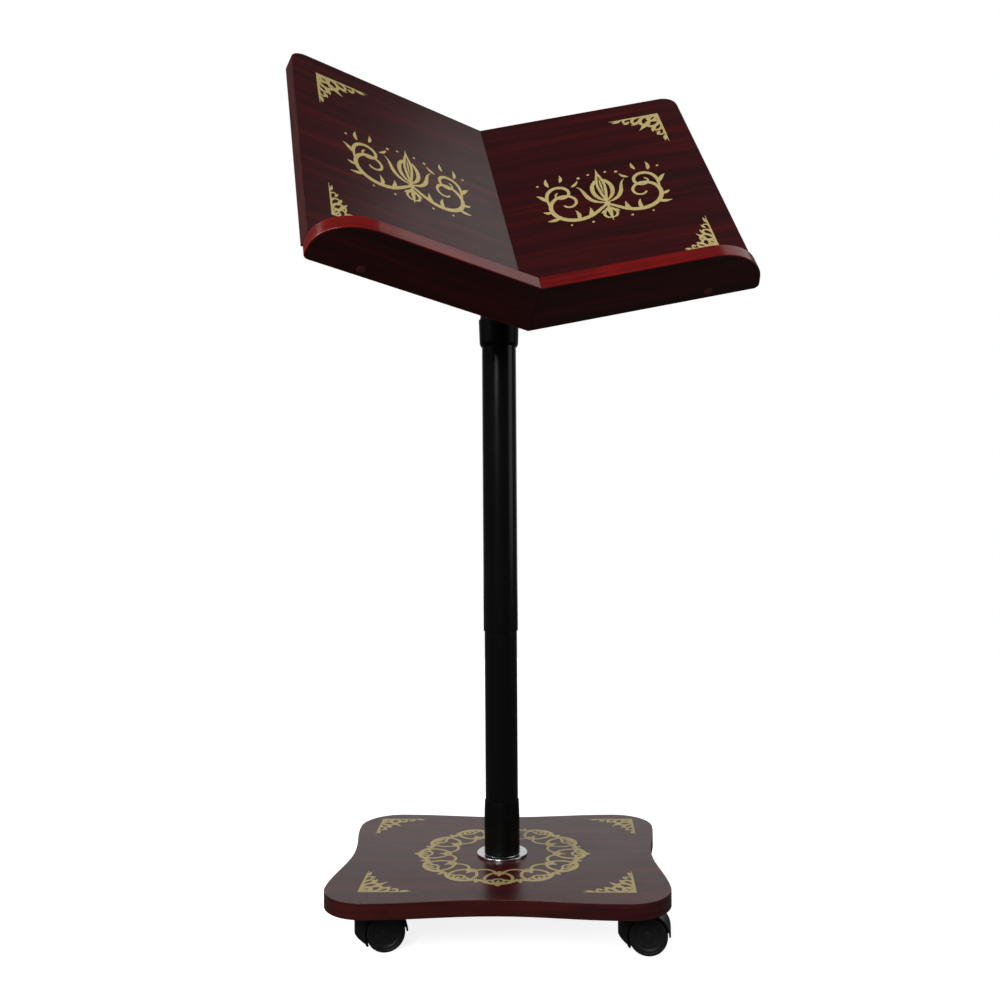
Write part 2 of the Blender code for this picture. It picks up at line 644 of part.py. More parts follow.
def wheel_profile():
    """From the middle of the outer face, round the tread to the blind axle bore."""
    bore = AXLE_D / 2 + GAP
    blind = AXLE_IN_WHEEL + GAP
    return [
        (0, WHEEL_T - WHEEL_DISH),
        (WHEEL_DISH_R, WHEEL_T - WHEEL_DISH),
        (WHEEL_DISH_R, WHEEL_T),
        (WHEEL_R - TREAD_ROUND, WHEEL_T),
        (WHEEL_R, WHEEL_T - TREAD_ROUND),
        (WHEEL_R, TREAD_ROUND),
        (WHEEL_R - TREAD_ROUND, 0),
        (bore, 0),
        (bore, blind),
        (0, blind),
    ]


def make_caster(name, x, y, turn, parent):
    fixed = frame(f"{name}_caster", parent, location=(x, y, 0))
    half = PLATE_W / 2
    near = half - PLATE_CORNER_R
    outline = []
    for sign_x, sign_y, start in ((1, 1, 0), (-1, 1, 90), (-1, -1, 180), (1, -1, 270)):
        outline += arc((sign_x * near, sign_y * near), (PLATE_CORNER_R, PLATE_CORNER_R), start, start + 90, 4)
    mesh = finished(extruded(outline, "Z", PLATE_BOTTOM, PLATE_TOP), f"{name}_caster_plate")
    plate = piece(f"{name}_caster_plate", mesh, fixed, ZINC)
    drill(plate, KINGPIN_D, (0, 0, 0), (0, 0, 2 * PLATE_TOP))
    for sign_x in (-1, 1):
        for sign_y in (-1, 1):
            at = Vector((sign_x, sign_y, 0)) * PLATE_HOLE_PITCH / 2
            drill(plate, PLATE_HOLE_D - 2 * GAP, at, at + Vector((0, 0, 2 * PLATE_TOP)), HOLE_STEPS)
    pin = rod(KINGPIN_D / 2, PLATE_TOP - KINGPIN_L, PLATE_TOP)
    turned(f"{name}_caster_kingpin", pin, fixed, ZINC, FINE_STEPS)

    swivel = frame(f"{name}_caster_swivel", fixed, rotation=(0, 0, radians(turn)))
    caster_hood(f"{name}_caster_hood", swivel)
    spin = frame(f"{name}_caster_axle_line", swivel, location=(CASTER_TRAIL, 0, WHEEL_R))
    half_axle = WHEEL_INNER + AXLE_IN_WHEEL
    axle = rod(AXLE_D / 2, -half_axle, half_axle)
    turned(f"{name}_caster_axle", axle, spin, ZINC, FINE_STEPS, rotation=(pi / 2, 0, 0))
    for label, direction in (("inner", 1), ("outer", -1)):
        place = (0, direction * WHEEL_INNER, 0)
        lay = (-direction * pi / 2, 0, 0)
        name_here = f"{name}_caster_{label}_wheel"
        turned(name_here, wheel_profile(), spin, WHEEL_PLASTIC, WHEEL_STEPS, place, lay)


def rest_on_origin(top_frame):
    """Moves the whole stand so that its box stands on the origin, centred."""
    bpy.context.view_layer.update()
    graph = bpy.context.evaluated_depsgraph_get()
    corners = []
    for made in parts.objects:
        if made.type == "MESH":
            shaped = made.evaluated_get(graph)
            corners += [shaped.matrix_world @ v.co for v in shaped.to_mesh().vertices]
            shaped.to_mesh_clear()
    low = [min(c[i] for c in corners) for i in range(3)]
    high = [max(c[i] for c in corners) for i in range(3)]
    top_frame.location = (-(low[0] + high[0]) / 2, -(low[1] + high[1]) / 2, -low[2])


stand = frame("stand")
make_base(stand)
make_pole(stand)
desk_swivel = frame("desk_swivel", stand, rotation=(0, 0, DESK_TURN))
desk = frame("desk", desk_swivel, location=(0, -VALLEY_FORWARD, VALLEY_Z), rotation=(-RECLINE, 0, 0))
make_saddle(desk)
make_neck(desk_swivel)
for half_name, half_side in (("left", -1), ("right", 1)):
    make_half(half_name, half_side, desk)
for corner_name, corner_turn in CASTER_TURN.items():
    corner_x = CASTER_X if corner_name.endswith("right") else -CASTER_X
    corner_y = -CASTER_Y if corner_name.startswith("front") else CASTER_Y
    make_caster(corner_name, corner_x, corner_y, corner_turn, stand)
rest_on_origin(stand)
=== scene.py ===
"""Looks of a floor stand for a large book: finishes, gilt ornament, turned and moulded pieces."""

import json
from math import cos, pi, radians, sin, tan

import bmesh
import bpy
import numpy as np
from mathutils import Matrix, Vector
from mathutils.geometry import delaunay_2d_cdt


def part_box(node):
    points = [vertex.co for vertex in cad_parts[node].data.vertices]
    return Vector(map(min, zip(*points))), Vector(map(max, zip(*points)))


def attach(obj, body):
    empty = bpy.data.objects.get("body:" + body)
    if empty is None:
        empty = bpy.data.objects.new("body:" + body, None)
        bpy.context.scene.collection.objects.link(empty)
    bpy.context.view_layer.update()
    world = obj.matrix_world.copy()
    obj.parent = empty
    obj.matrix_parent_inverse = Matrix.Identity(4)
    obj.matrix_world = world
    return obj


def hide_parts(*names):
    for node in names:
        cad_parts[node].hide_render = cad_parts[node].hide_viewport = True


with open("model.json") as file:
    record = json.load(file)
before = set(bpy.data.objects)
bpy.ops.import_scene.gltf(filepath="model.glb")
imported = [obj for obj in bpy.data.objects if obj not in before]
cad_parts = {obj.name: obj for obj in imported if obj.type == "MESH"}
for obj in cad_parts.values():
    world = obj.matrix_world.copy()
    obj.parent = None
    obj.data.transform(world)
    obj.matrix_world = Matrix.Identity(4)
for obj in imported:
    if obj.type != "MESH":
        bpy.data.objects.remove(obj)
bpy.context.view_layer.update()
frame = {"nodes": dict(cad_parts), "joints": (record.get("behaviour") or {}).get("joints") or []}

# Sizes of the stand, in metres, the same as the solids have
GAP = 0.0003
SEAM = 0.00005  # between a board and its edging
BOARD_T = 0.0165
EDGING_T = 0.001
BASE_W, BASE_D = 0.356, 0.292
BASE_CORNER_R = 0.045
BASE_WAIST = 0.0105
BASE_SIDE_POINTS = 14
DESK_TURN = radians(18.7)
RECLINE = radians(37.4)
FOLD = radians(18.0)
VALLEY_FORWARD = 0.115
VALLEY_DROP = 0.004
PANEL_W, PANEL_H = 0.240, 0.317
PANEL_CORNER_R = 0.018
LEDGE_DEPTH = 0.038
LEDGE_CURVE_W, LEDGE_CURVE_D = 0.054, 0.040
LEDGE_BACK_R = 0.006
LEDGE_SCREW_FROM_END = 0.055
CAP_R = 0.0044
CAP_PROUD = 0.0006
LOWER_TUBE_R, LOWER_TUBE_WALL = 0.01825, 0.0012
UPPER_TUBE_WALL = 0.0008
SLEEVE_WALL, SLEEVE_LIP_WALL = 0.0012, 0.0006
SLEEVE_TAPER_L = 0.016
FLANGE_RIM = 0.0085
BOLT_R = 0.005
FERRULE_TOP_WALL, FERRULE_WAIST_WALL = 0.0031, 0.0022
FERRULE_TAPER_L = 0.003
BUSH_WALL = 0.0022
COLLAR_WALL = 0.005
SADDLE_T = 0.003
SADDLE_REACH, SADDLE_H = 0.072, 0.120
SADDLE_SCREW_EDGE = 0.016
GUSSET_T = 0.004
SCREW_HEAD_R, SCREW_HEAD_T = 0.004, 0.0024
SCREW_SHANK_R = 0.0019
CASTER_INSET_X, CASTER_INSET_Y = 0.042, 0.051
CASTER_TRAIL = 0.0187
CASTER_TURN = {"front_left": 14, "front_right": -6, "back_left": 6, "back_right": -12}
WHEEL_R, WHEEL_T = 0.020, 0.0107
WHEEL_INNER = 0.0049
WHEEL_DISH = 0.0012
HUB_R = 0.0042
AXLE_R = 0.0025
AXLE_BORE = 0.0077
WEB_T = 0.009
HOOD_GAP, HOOD_WALL = 0.0010, 0.0020
HOOD_SLOPE = radians(37)
HOOD_LIP_ANGLE = radians(34)
HOOD_LIP_T = 0.0012
NOSE_R = 0.0125
AXLE_BOSS_R = 0.007
KINGPIN_R, KINGPIN_L = 0.0035, 0.024
PLATE_HOLE_PITCH = 0.028
TURNED_STEPS = 96
NECK_WELD_R, NECK_WELD_SINK, NECK_WELD_STEPS = 0.0019, 0.0007, 150
GUSSET_WELD_R, GUSSET_WELD_STEPS = 0.0014, 60
GUSSET_WELD_START, GUSSET_WELD_SHORT = 0.002, 0.004
HOOD_VOXEL = 0.00055
ARRIS_R = 0.0004
SHARP_ANGLE = radians(32)

POLE = Vector([j for j in frame["joints"] if j["name"] == "desk_turn"][0]["pos_m"][:2])
POLE_AXIS = Matrix.Translation((POLE.x, POLE.y, 0))
BASE_BOTTOM, BASE_TOP = (corner.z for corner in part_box("base_board"))
LOWER_TUBE_LOW, LOWER_TUBE_TOP = (corner.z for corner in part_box("lower_tube"))
UPPER_TUBE_LOW, POLE_TOP = (corner.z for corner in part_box("upper_tube"))
PLATE_BOTTOM, PLATE_TOP = (corner.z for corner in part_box("front_left_caster_plate"))
SADDLE_BACK = BOARD_T + GAP + SADDLE_T
RIDGE_DEPTH = (SADDLE_BACK + GAP) / cos(FOLD)
AXIS_UP_VALLEY = (VALLEY_FORWARD - RIDGE_DEPTH * cos(RECLINE)) / sin(RECLINE)
SADDLE_BOTTOM = AXIS_UP_VALLEY - SADDLE_H / 2
DESK = (
    POLE_AXIS @ Matrix.Rotation(DESK_TURN, 4, "Z")
    @ Matrix.Translation((0, -VALLEY_FORWARD, POLE_TOP - VALLEY_DROP))
    @ Matrix.Rotation(-RECLINE, 4, "X")
)


def half_frame(side):
    """Places one half of the desk: x out from the valley, y from its face back, z up the panel."""
    return DESK @ Matrix.Rotation(-side * FOLD, 4, "Z")


# ------------------------------------------------------------------ finishes


class Value:
    """A shader socket. Arithmetic on it adds Math nodes."""

    def __init__(self, finish, socket):
        self.finish, self.socket = finish, socket

    def math(self, operation, *others):
        return self.finish.math(operation, self, *others)

    def __add__(self, other):
        return self.math("ADD", other)

    def __sub__(self, other):
        return self.math("SUBTRACT", other)

    def __mul__(self, other):
        return self.math("MULTIPLY", other)

    def __rsub__(self, other):
        return self.finish.math("SUBTRACT", other, self)

    __radd__ = __add__
    __rmul__ = __mul__


class Finish:
    """A material that is built from nodes."""

    def __init__(self, name):
        self.material = bpy.data.materials.new(name)
        self.material.use_nodes = True
        self.tree = self.material.node_tree
        self.tree.nodes.clear()
        self.place = self.node("TexCoord", output="Object")

    def node(self, kind, settings=(), sockets=(), output=0):
        """Adds a node. Its settings come first, then the values or links of its sockets."""
        made = self.tree.nodes.new("ShaderNode" + kind)
        for name, value in dict(settings).items():
            if name == "stops":
                ramp = made.color_ramp.elements
                while len(ramp) < len(value):
                    ramp.new(1.0)
                for stop, (position, colour) in zip(ramp, value):
                    stop.position = position
                    stop.color = (*colour, 1.0)
            else:
                setattr(made, name, value)
        for key, value in dict(sockets).items():
            if isinstance(value, Value):
                self.tree.links.new(value.socket, made.inputs[key])
            else:
                made.inputs[key].default_value = value
        return Value(self, made.outputs[output]) if made.outputs else None

    def math(self, operation, *values):
        return self.node("Math", {"operation": operation}, dict(enumerate(values)))

    def along(self, direction, origin=(0, 0, 0)):
        """Distance along a direction from a point, in metres."""
        reach = self.node("VectorMath", {"operation": "SUBTRACT"}, {0: self.place, 1: origin})
        return self.node("VectorMath", {"operation": "DOT_PRODUCT"}, {0: reach, 1: direction}, "Value")

    def spot(self, x, y, z=0.0):
        return self.node("CombineXYZ", sockets={0: x, 1: y, 2: z})

    def noise(self, place, scale, detail=2.0, roughness=0.5, distortion=0.0):
        sockets = {
            "Vector": place, "Scale": scale, "Detail": detail, "Roughness": roughness,
            "Distortion": distortion,
        }
        return self.node("TexNoise", sockets=sockets)

    def spread(self, value, low, high, to_low=0.0, to_high=1.0, smooth=True):
        kind = "SMOOTHSTEP" if smooth else "LINEAR"
        sockets = {"Value": value, 1: low, 2: high, 3: to_low, 4: to_high}
        return self.node("MapRange", {"interpolation_type": kind}, sockets)

    def mix(self, factor, a, b, how="MIX"):
        a, b = (c if isinstance(c, Value) else (*c, 1.0) for c in (a, b))
        settings = {"data_type": "RGBA", "blend_type": how, "clamp_factor": True}
        return self.node("Mix", settings, {0: factor, 6: a, 7: b}, 2)

    def bump(self, height, strength, distance):
        return self.node("Bump", sockets={"Height": height, "Strength": strength, "Distance": distance})

    def surface(self, **sockets):
        """Finishes the material. The arguments are the surface's sockets, their spaces written as _."""
        named = {}
        for key, value in sockets.items():
            if isinstance(value, tuple):
                value = (*value, 1.0)
            named[key.replace("_", " ")] = value
        shader = self.node("BsdfPrincipled", sockets=named)
        self.node("OutputMaterial", sockets={"Surface": shader})
        return self.material


def laminate(name, grain, across, deep, seed, sheen=0.30, light=1.35):
    """Dark red mahogany print. Its grain runs along one direction and is figured across another. Its light
    factor scales the colour, and boards given a higher one have painted light in it.
    """
    f = Finish(name)
    u, v, w = f.along(grain), f.along(across), f.along(deep)
    wander = f.noise(f.spot(u * 3.0, v * 7.0, w * 3.0 + seed), 1.0, 3.0) * 0.030
    v_bent = v + wander
    figure = f.noise(f.spot(u * 2.6, v_bent * 70.0, w * 9.0 + seed), 1.0, 4.0, 0.6)
    streak = f.noise(f.spot(u * 9.0, v_bent * 330.0, w * 60.0 + seed), 1.0, 3.0, 0.6)
    pores = f.noise(f.spot(u * 60.0, v_bent * 1600.0, w * 900.0), 1.0, 1.0)
    pore = f.spread(pores, 0.60, 0.72)
    tone = f.spread(figure * 0.62 + streak * 0.38, 0.32, 0.70)
    stops = [
        (0.0, (0.0150 * light, 0.0013 * light, 0.0016 * light)),
        (0.35, (0.0245 * light, 0.0017 * light, 0.0022 * light)),
        (0.68, (0.0360 * light, 0.0021 * light, 0.0028 * light)),
        (1.0, (0.0600 * light, 0.0030 * light, 0.0036 * light)),
    ]
    wood = f.node("ValToRGB", {"stops": stops}, {"Fac": tone})
    wood = f.mix(pore * 0.45, wood, (0.007, 0.0014, 0.0016))
    cloud = f.noise(f.spot(u * 14.0, v * 16.0, w * 14.0), 1.0, 3.0)
    rough = cloud * 0.10 + sheen - 0.05 + pore * 0.10
    height = pore * -0.5 + streak * 0.25
    return f.surface(
        Base_Color=wood, Roughness=rough, Normal=f.bump(height, 0.10, 0.0002), Specular_IOR_Level=0.42
    )


def edging(name, board, dark, bright, roughness, seed):
    """Glossy edge band with a faint printed grain along it. The board's last axis is across the band."""
    f = Finish(name)
    u, v, w = (f.along(axis) for axis in board)
    lines = f.noise(f.spot(u * 9.0 + seed, v * 9.0, w * 260.0), 1.0, 3.0, 0.6)
    cloud = f.noise(f.place, 28.0, 2.0)
    tone = f.spread(lines * 0.6 + cloud * 0.4, 0.32, 0.68)
    colour = f.mix(tone, dark, bright)
    scuff = f.noise(f.place, 45.0, 2.0)
    return f.surface(
        Base_Color=colour, Roughness=f.spread(scuff, 0.35, 0.75, roughness, roughness + 0.08),
        Normal=f.bump(lines, 0.03, 0.0001), IOR=1.50,
    )


def black_gloss():
    """Stove enamel on steel: deep black with a little orange peel and dust."""
    f = Finish("stove_enamel")
    peel = f.noise(f.place, 650.0, 2.0)
    dust = f.spread(f.noise(f.place, 2600.0, 2.0), 0.66, 0.78)
    cloud = f.noise(f.place, 22.0, 3.0)
    colour = f.mix(dust * 0.5, (0.0030, 0.0030, 0.0032), (0.020, 0.020, 0.020))
    return f.surface(
        Base_Color=colour, Roughness=cloud * 0.10 + 0.17 + dust * 0.2,
        Normal=f.bump(peel, 0.05, 0.0001), Specular_IOR_Level=0.28,
    )


def moulded(name, colour, worn, roughness, grain=900.0, specular=0.5):
    """Moulded plastic with a fine spark-eroded grain and paler worn patches."""
    f = Finish(name)
    texture = f.noise(f.place, grain, 3.0, 0.6)
    cloud = f.noise(f.place, 60.0, 4.0, 0.6)
    wear = f.spread(cloud, 0.50, 0.74)
    return f.surface(
        Base_Color=f.mix(wear * 0.7, colour, worn),
        Roughness=cloud * 0.16 + roughness - 0.08,
        Normal=f.bump(texture, 0.12, 0.0001), Specular_IOR_Level=specular,
    )


def metal(name, colour, stain, roughness, scratch=0.0):
    f = Finish(name)
    cloud = f.noise(f.place, 90.0, 4.0, 0.6)
    fine = f.noise(f.place, 1400.0, 2.0)
    tone = f.spread(cloud, 0.40, 0.72)
    return f.surface(
        Base_Color=f.mix(tone * 0.6, colour, stain), Metallic=1.0,
        Roughness=cloud * 0.16 + fine * 0.06 + roughness - 0.11,
        Normal=f.bump(fine, 0.05 + scratch, 0.00005),
    )


def gilt(name, light):
    """Gold leaf print: warm pale gold, a little uneven, rubbed thin in specks. Its light factor scales the
    colour.
    """
    f = Finish(name)
    cloud = f.noise(f.place, 420.0, 4.0, 0.6)
    specks = f.spread(f.noise(f.place, 1900.0, 3.0, 0.6), 0.66, 0.74)
    pale = (0.74 * light, 0.60 * light, 0.27 * light)
    deep = (0.63 * light, 0.49 * light, 0.19 * light)
    colour = f.mix(f.spread(cloud, 0.36, 0.66), deep, pale)
    colour = f.mix(specks * 0.55, colour, (0.16, 0.09, 0.03))
    return f.surface(
        Base_Color=colour, Metallic=0.35, Roughness=cloud * 0.2 + 0.32,
        Normal=f.bump(f.noise(f.place, 900.0, 2.0), 0.10, 0.0001),
    )


def beechwood():
    f = Finish("beech_dowel")
    x, y, z = (f.along(axis) for axis in (WORLD_X, WORLD_Y, WORLD_Z))
    grain = f.noise(f.spot(x * 400.0, y * 400.0, z * 30.0), 1.0, 3.0)
    colour = f.mix(f.spread(grain, 0.35, 0.65), (0.42, 0.27, 0.14), (0.62, 0.44, 0.26))
    return f.surface(Base_Color=colour, Roughness=grain * 0.2 + 0.5, Normal=f.bump(grain, 0.2, 0.0002))


WORLD_X, WORLD_Y, WORLD_Z = (1, 0, 0), (0, 1, 0), (0, 0, 1)


def board_axes(side):
    turn = half_frame(side).to_3x3()
    return [tuple(turn @ Vector(axis)) for axis in (WORLD_X, WORLD_Y, WORLD_Z)]


LEFT_X, LEFT_Y, LEFT_Z = board_axes(-1)
RIGHT_X, RIGHT_Y, RIGHT_Z = board_axes(1)
# Every board is the same mahogany. The left panel (1.6) and the base (1.9) are brighter copies: painted
# sheen on the left panel and painted reflection on the base's top.
LAMINATES = {
    "left_panel": laminate("left_panel_mahogany", LEFT_X, LEFT_Z, LEFT_Y, 3.7, light=1.6),
    "right_panel": laminate("right_panel_mahogany", RIGHT_X, RIGHT_Z, RIGHT_Y, 9.2),
    "left_ledge": laminate("left_ledge_mahogany", LEFT_X, LEFT_Y, LEFT_Z, 15.1),
    "right_ledge": laminate("right_ledge_mahogany", RIGHT_X, RIGHT_Y, RIGHT_Z, 21.9),
    "base_board": laminate("base_mahogany", WORLD_X, WORLD_Y, WORLD_Z, 27.3, light=1.9),
}
BROWN = ((0.036, 0.0050, 0.0050), (0.085, 0.0098, 0.0088), 0.24)
RED = ((0.110, 0.0040, 0.0040), (0.230, 0.0060, 0.0055), 0.18)
EDGINGS = {
    "base_edging": edging("base_edging", (WORLD_X, WORLD_Y, WORLD_Z), *BROWN, 1.0),
    "left_panel_edging": edging("left_panel_edging", (LEFT_X, LEFT_Z, LEFT_Y), *BROWN, 2.0),
    "right_panel_edging": edging("right_panel_edging", (RIGHT_X, RIGHT_Z, RIGHT_Y), *BROWN, 3.0),
    "left_ledge_edging": edging("left_ledge_edging", (LEFT_X, LEFT_Y, LEFT_Z), *RED, 5.0),
    "right_ledge_edging": edging("right_ledge_edging", (RIGHT_X, RIGHT_Y, RIGHT_Z), *RED, 6.0),
}
ENAMEL = black_gloss()
SLEEVE_PLASTIC = moulded(
    "sleeve_moulding", (0.0030, 0.0032, 0.0032), (0.0050, 0.0052, 0.0052), 0.40, specular=0.12
)
BLACK_PLASTIC = moulded("hood_moulding", (0.0085, 0.0093, 0.0092), (0.0150, 0.0160, 0.0158), 0.40)
WHEEL_PLASTIC = moulded("wheel_plastic", (0.0095, 0.0102, 0.0102), (0.0180, 0.0188, 0.0188), 0.48, 700.0)
CHROME = metal("bright_plate", (0.86, 0.85, 0.87), (0.62, 0.61, 0.63), 0.16)
ZINC = metal("zinc_plate", (0.58, 0.59, 0.60), (0.40, 0.40, 0.40), 0.36, 0.05)
NYLON = moulded("natural_nylon", (0.60, 0.58, 0.53), (0.68, 0.67, 0.63), 0.50)
BEECH = beechwood()
CAP_PLASTIC = moulded("cap_plastic", (0.100, 0.016, 0.016), (0.150, 0.030, 0.028), 0.34)
# One gold print in two copies: the panels' copy is painted brighter (painted light) and the base's copy
# darker (painted shade).
PANEL_GILT = gilt("panel_gilt", 1.22)
BASE_GILT = gilt("base_gilt", 0.90)


def finish_of(node):
    """The material of a CAD node that stays as it is."""
    if node in LAMINATES:
        return LAMINATES[node]
    if node.endswith("edge_band"):
        return EDGINGS[node.replace("edge_band", "edging")]
    for ending, look in (
        ("_tube", ENAMEL), ("collar", ENAMEL),
        ("gusset", ENAMEL), ("saddle_plate", ENAMEL), ("sleeve", SLEEVE_PLASTIC),
        ("ferrule", SLEEVE_PLASTIC),
        ("hood", BLACK_PLASTIC), ("wheel", WHEEL_PLASTIC), ("flange", CHROME), ("joint_plug", NYLON),
        ("bush", NYLON), ("dowel", BEECH), ("cap", CAP_PLASTIC),
    ):
        if node.endswith(ending):
            return look
    return ZINC


def soft_shading():
    """A modifier group that joins a solid's split faces and shades its round stretches smooth."""
    group = bpy.data.node_groups.new("soft_shading", "GeometryNodeTree")
    group.interface.new_socket("Geometry", in_out="INPUT", socket_type="NodeSocketGeometry")
    group.interface.new_socket("Geometry", in_out="OUTPUT", socket_type="NodeSocketGeometry")
    nodes, links = group.nodes, group.links
    start, end = nodes.new("NodeGroupInput"), nodes.new("NodeGroupOutput")
    drop = nodes.new("GeometryNodeRemoveAttribute")
    drop.inputs["Name"].default_value = "custom_normal"
    merge = nodes.new("GeometryNodeMergeByDistance")
    merge.inputs["Distance"].default_value = 0.00001
    angle = nodes.new("GeometryNodeInputMeshEdgeAngle")
    sharp = nodes.new("FunctionNodeCompare")
    sharp.inputs[1].default_value = SHARP_ANGLE
    edges, faces = nodes.new("GeometryNodeSetShadeSmooth"), nodes.new("GeometryNodeSetShadeSmooth")
    edges.domain = "EDGE"
    edges.inputs["Shade Smooth"].default_value = False
    chain = [(start, drop), (drop, merge), (merge, edges), (edges, faces), (faces, end)]
    for a, b in chain:
        links.new(a.outputs[0], b.inputs[0])
    links.new(angle.outputs["Unsigned Angle"], sharp.inputs[0])
    links.new(sharp.outputs[0], edges.inputs["Selection"])
    return group


SOFT_SHADING = soft_shading()
for node_name, cad_node in frame["nodes"].items():
    cad_node.data.materials.clear()
    cad_node.data.materials.append(finish_of(node_name))
    cad_node.modifiers.new("shading", "NODES").node_group = SOFT_SHADING
    if node_name.endswith(("saddle_plate", "gusset", "caster_plate", "base_bolt", "base_washer")):
        rounding = cad_node.modifiers.new("rounded_arrises", "BEVEL")
        rounding.width, rounding.segments, rounding.angle_limit = ARRIS_R, 2, SHARP_ANGLE

# -------------------------------------------------------------------- shapes


def eased(points, radii, steps=4):
    """A closed outline with its corners rounded. There is one radius for each point."""
    rounded = []
    for i, (point, radius) in enumerate(zip(points, radii)):
        here, before, after = (Vector(points[j % len(points)]) for j in (i, i - 1, i + 1))
        if not radius:
            rounded.append(tuple(here))
            continue
        start = here + (before - here).normalized() * radius
        end = here + (after - here).normalized() * radius
        for t in (k / steps for k in range(steps + 1)):
            rounded.append(tuple((1 - t) ** 2 * start + 2 * t * (1 - t) * here + t * t * end))
    return rounded


def lofted(rows, ring=True, closed=True):
    """A bmesh of a closed skin through rows of points. The rows are rings or lines, and the last row
    joins the first one unless the first and last are to be filled."""
    bm = bmesh.new()
    made = [[bm.verts.new(point) for point in row] for row in rows]
    for near, far in zip(made, made[1:] + made[:1] if closed else made[1:]):
        for i in range(len(near) if ring else len(near) - 1):
            j = (i + 1) % len(near)
            bm.faces.new((near[i], near[j], far[j], far[i]))
    if not closed:
        bm.faces.new(made[0])
        bm.faces.new(made[-1])
    if not ring:
        bm.faces.new([row[0] for row in made])
        bm.faces.new([row[-1] for row in made])
    return bm


def turned(profile, steps=TURNED_STEPS):
    """A bmesh turned about Z from (radius, height) points. It is solid if they touch the axis."""
    angles = [2 * pi * i / steps for i in range(steps)]
    rows = [[(r * cos(a), r * sin(a), z) for a in angles] for r, z in profile if r > 0]
    return lofted(rows, closed=profile[0][0] > 0)


def rod(radius, start, end, steps=48):
    """A bmesh of a round bar from point start to point end."""
    start, end = Vector(start), Vector(end)
    bm = turned([(0, 0), (radius, 0), (radius, (end - start).length), (0, 1)], steps)
    lay = (end - start).to_track_quat("Z", "Y").to_matrix().to_4x4()
    bmesh.ops.transform(bm, matrix=Matrix.Translation(start) @ lay, verts=bm.verts)
    return bm


def block(low, high, lay=Matrix()):
    """A bmesh of a box between two corners."""
    bm = bmesh.new()
    low, high = Vector(low), Vector(high)
    size = Matrix.Diagonal((*(high - low), 1))
    bmesh.ops.create_cube(bm, size=1, matrix=lay @ Matrix.Translation((low + high) / 2) @ size)
    return bm


def mesh_of(bm, name):
    bmesh.ops.recalc_face_normals(bm, faces=bm.faces)
    mesh = bpy.data.meshes.new(name)
    bm.to_mesh(mesh)
    bm.free()
    return mesh


def carved(name, bm, cuts, finishing=()):
    """A mesh of the shape after others are joined to it or cut from it in turn, then some modifiers."""
    scratch = bpy.data.objects.new("blank", mesh_of(bm, "blank"))
    tools = [scratch]
    for operation, cutter in cuts:
        tools.append(bpy.data.objects.new("cutter", mesh_of(cutter, "cutter")))
        boolean = scratch.modifiers.new("carve", "BOOLEAN")
        boolean.operation, boolean.solver, boolean.object = operation, "EXACT", tools[-1]
    for kind, settings in finishing:
        modifier = scratch.modifiers.new("finishing", kind)
        for key, value in settings.items():
            setattr(modifier, key, value)
    for tool in tools:
        bpy.context.scene.collection.objects.link(tool)
    graph = bpy.context.evaluated_depsgraph_get()
    mesh = bpy.data.meshes.new_from_object(scratch.evaluated_get(graph), depsgraph=graph)
    mesh.name = name
    for tool in tools:
        bpy.data.objects.remove(tool)
    return mesh


def piece(name, shape, look, body, place=Matrix(), stands_for=(), sharp=34):
    """Adds a piece of the stand, from a mesh or a bmesh, on the body that it moves with."""
    if isinstance(shape, bmesh.types.BMesh):
        bmesh.ops.transform(shape, matrix=place, verts=shape.verts)
        mesh, place = mesh_of(shape, name), Matrix()
    else:
        mesh = shape
    mesh.shade_smooth()
    mesh.set_sharp_from_angle(angle=radians(sharp))
    if not mesh.materials:
        mesh.materials.append(look)
    made = bpy.data.objects.new(name, mesh)
    bpy.context.scene.collection.objects.link(made)
    made.modifiers.new("flat_faces", "WEIGHTED_NORMAL").keep_sharp = True
    made.matrix_world = place
    bpy.context.view_layer.update()
    if stands_for:
        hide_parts(*stands_for)
    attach(made, body)
    return made


def arc(centre, radii, start, end, count):
    angles = [radians(start + (end - start) * i / count) for i in range(count + 1)]
    return [(centre[0] + radii[0] * cos(a), centre[1] + radii[1] * sin(a)) for a in angles]


# ------------------------------------------------------------------- edging


def base_outline(inset):
    """The base's outline, that far inside its edging. Each side is drawn in by a smooth wave."""
    half_w, half_d = BASE_W / 2, BASE_D / 2
    flat_w, flat_d = half_w - BASE_CORNER_R, half_d - BASE_CORNER_R

    def side(flat, reach):
        steps = [flat * (2 * i / BASE_SIDE_POINTS - 1) for i in range(1, BASE_SIDE_POINTS)]
        return [(u, reach - inset - BASE_WAIST * (1 + cos(pi * u / flat)) / 2) for u in steps]

    def corner(sign_x, sign_y, start):
        radius = BASE_CORNER_R - inset
        return arc((sign_x * flat_w, sign_y * flat_d), (radius, radius), start, start + 90, 10)

    outline = corner(1, 1, 0) + [(-u, out) for u, out in side(flat_w, half_d)]
    outline += corner(-1, 1, 90) + [(-out, -u) for u, out in side(flat_d, half_w)]
    outline += corner(-1, -1, 180) + [(u, -out) for u, out in side(flat_w, half_d)]
    return outline + corner(1, -1, 270) + [(out, u) for u, out in side(flat_d, half_w)]


def panel_edge(inset):
    """(x, z) points up from the valley's top, round the outer corner and down to the ledge."""
    radius = PANEL_CORNER_R - inset
    curve = arc((PANEL_W - PANEL_CORNER_R, PANEL_H - PANEL_CORNER_R), (radius, radius), 90, 0, 10)
    return [(-BOARD_T, PANEL_H - inset), *curve, (PANEL_W - inset, GAP)]


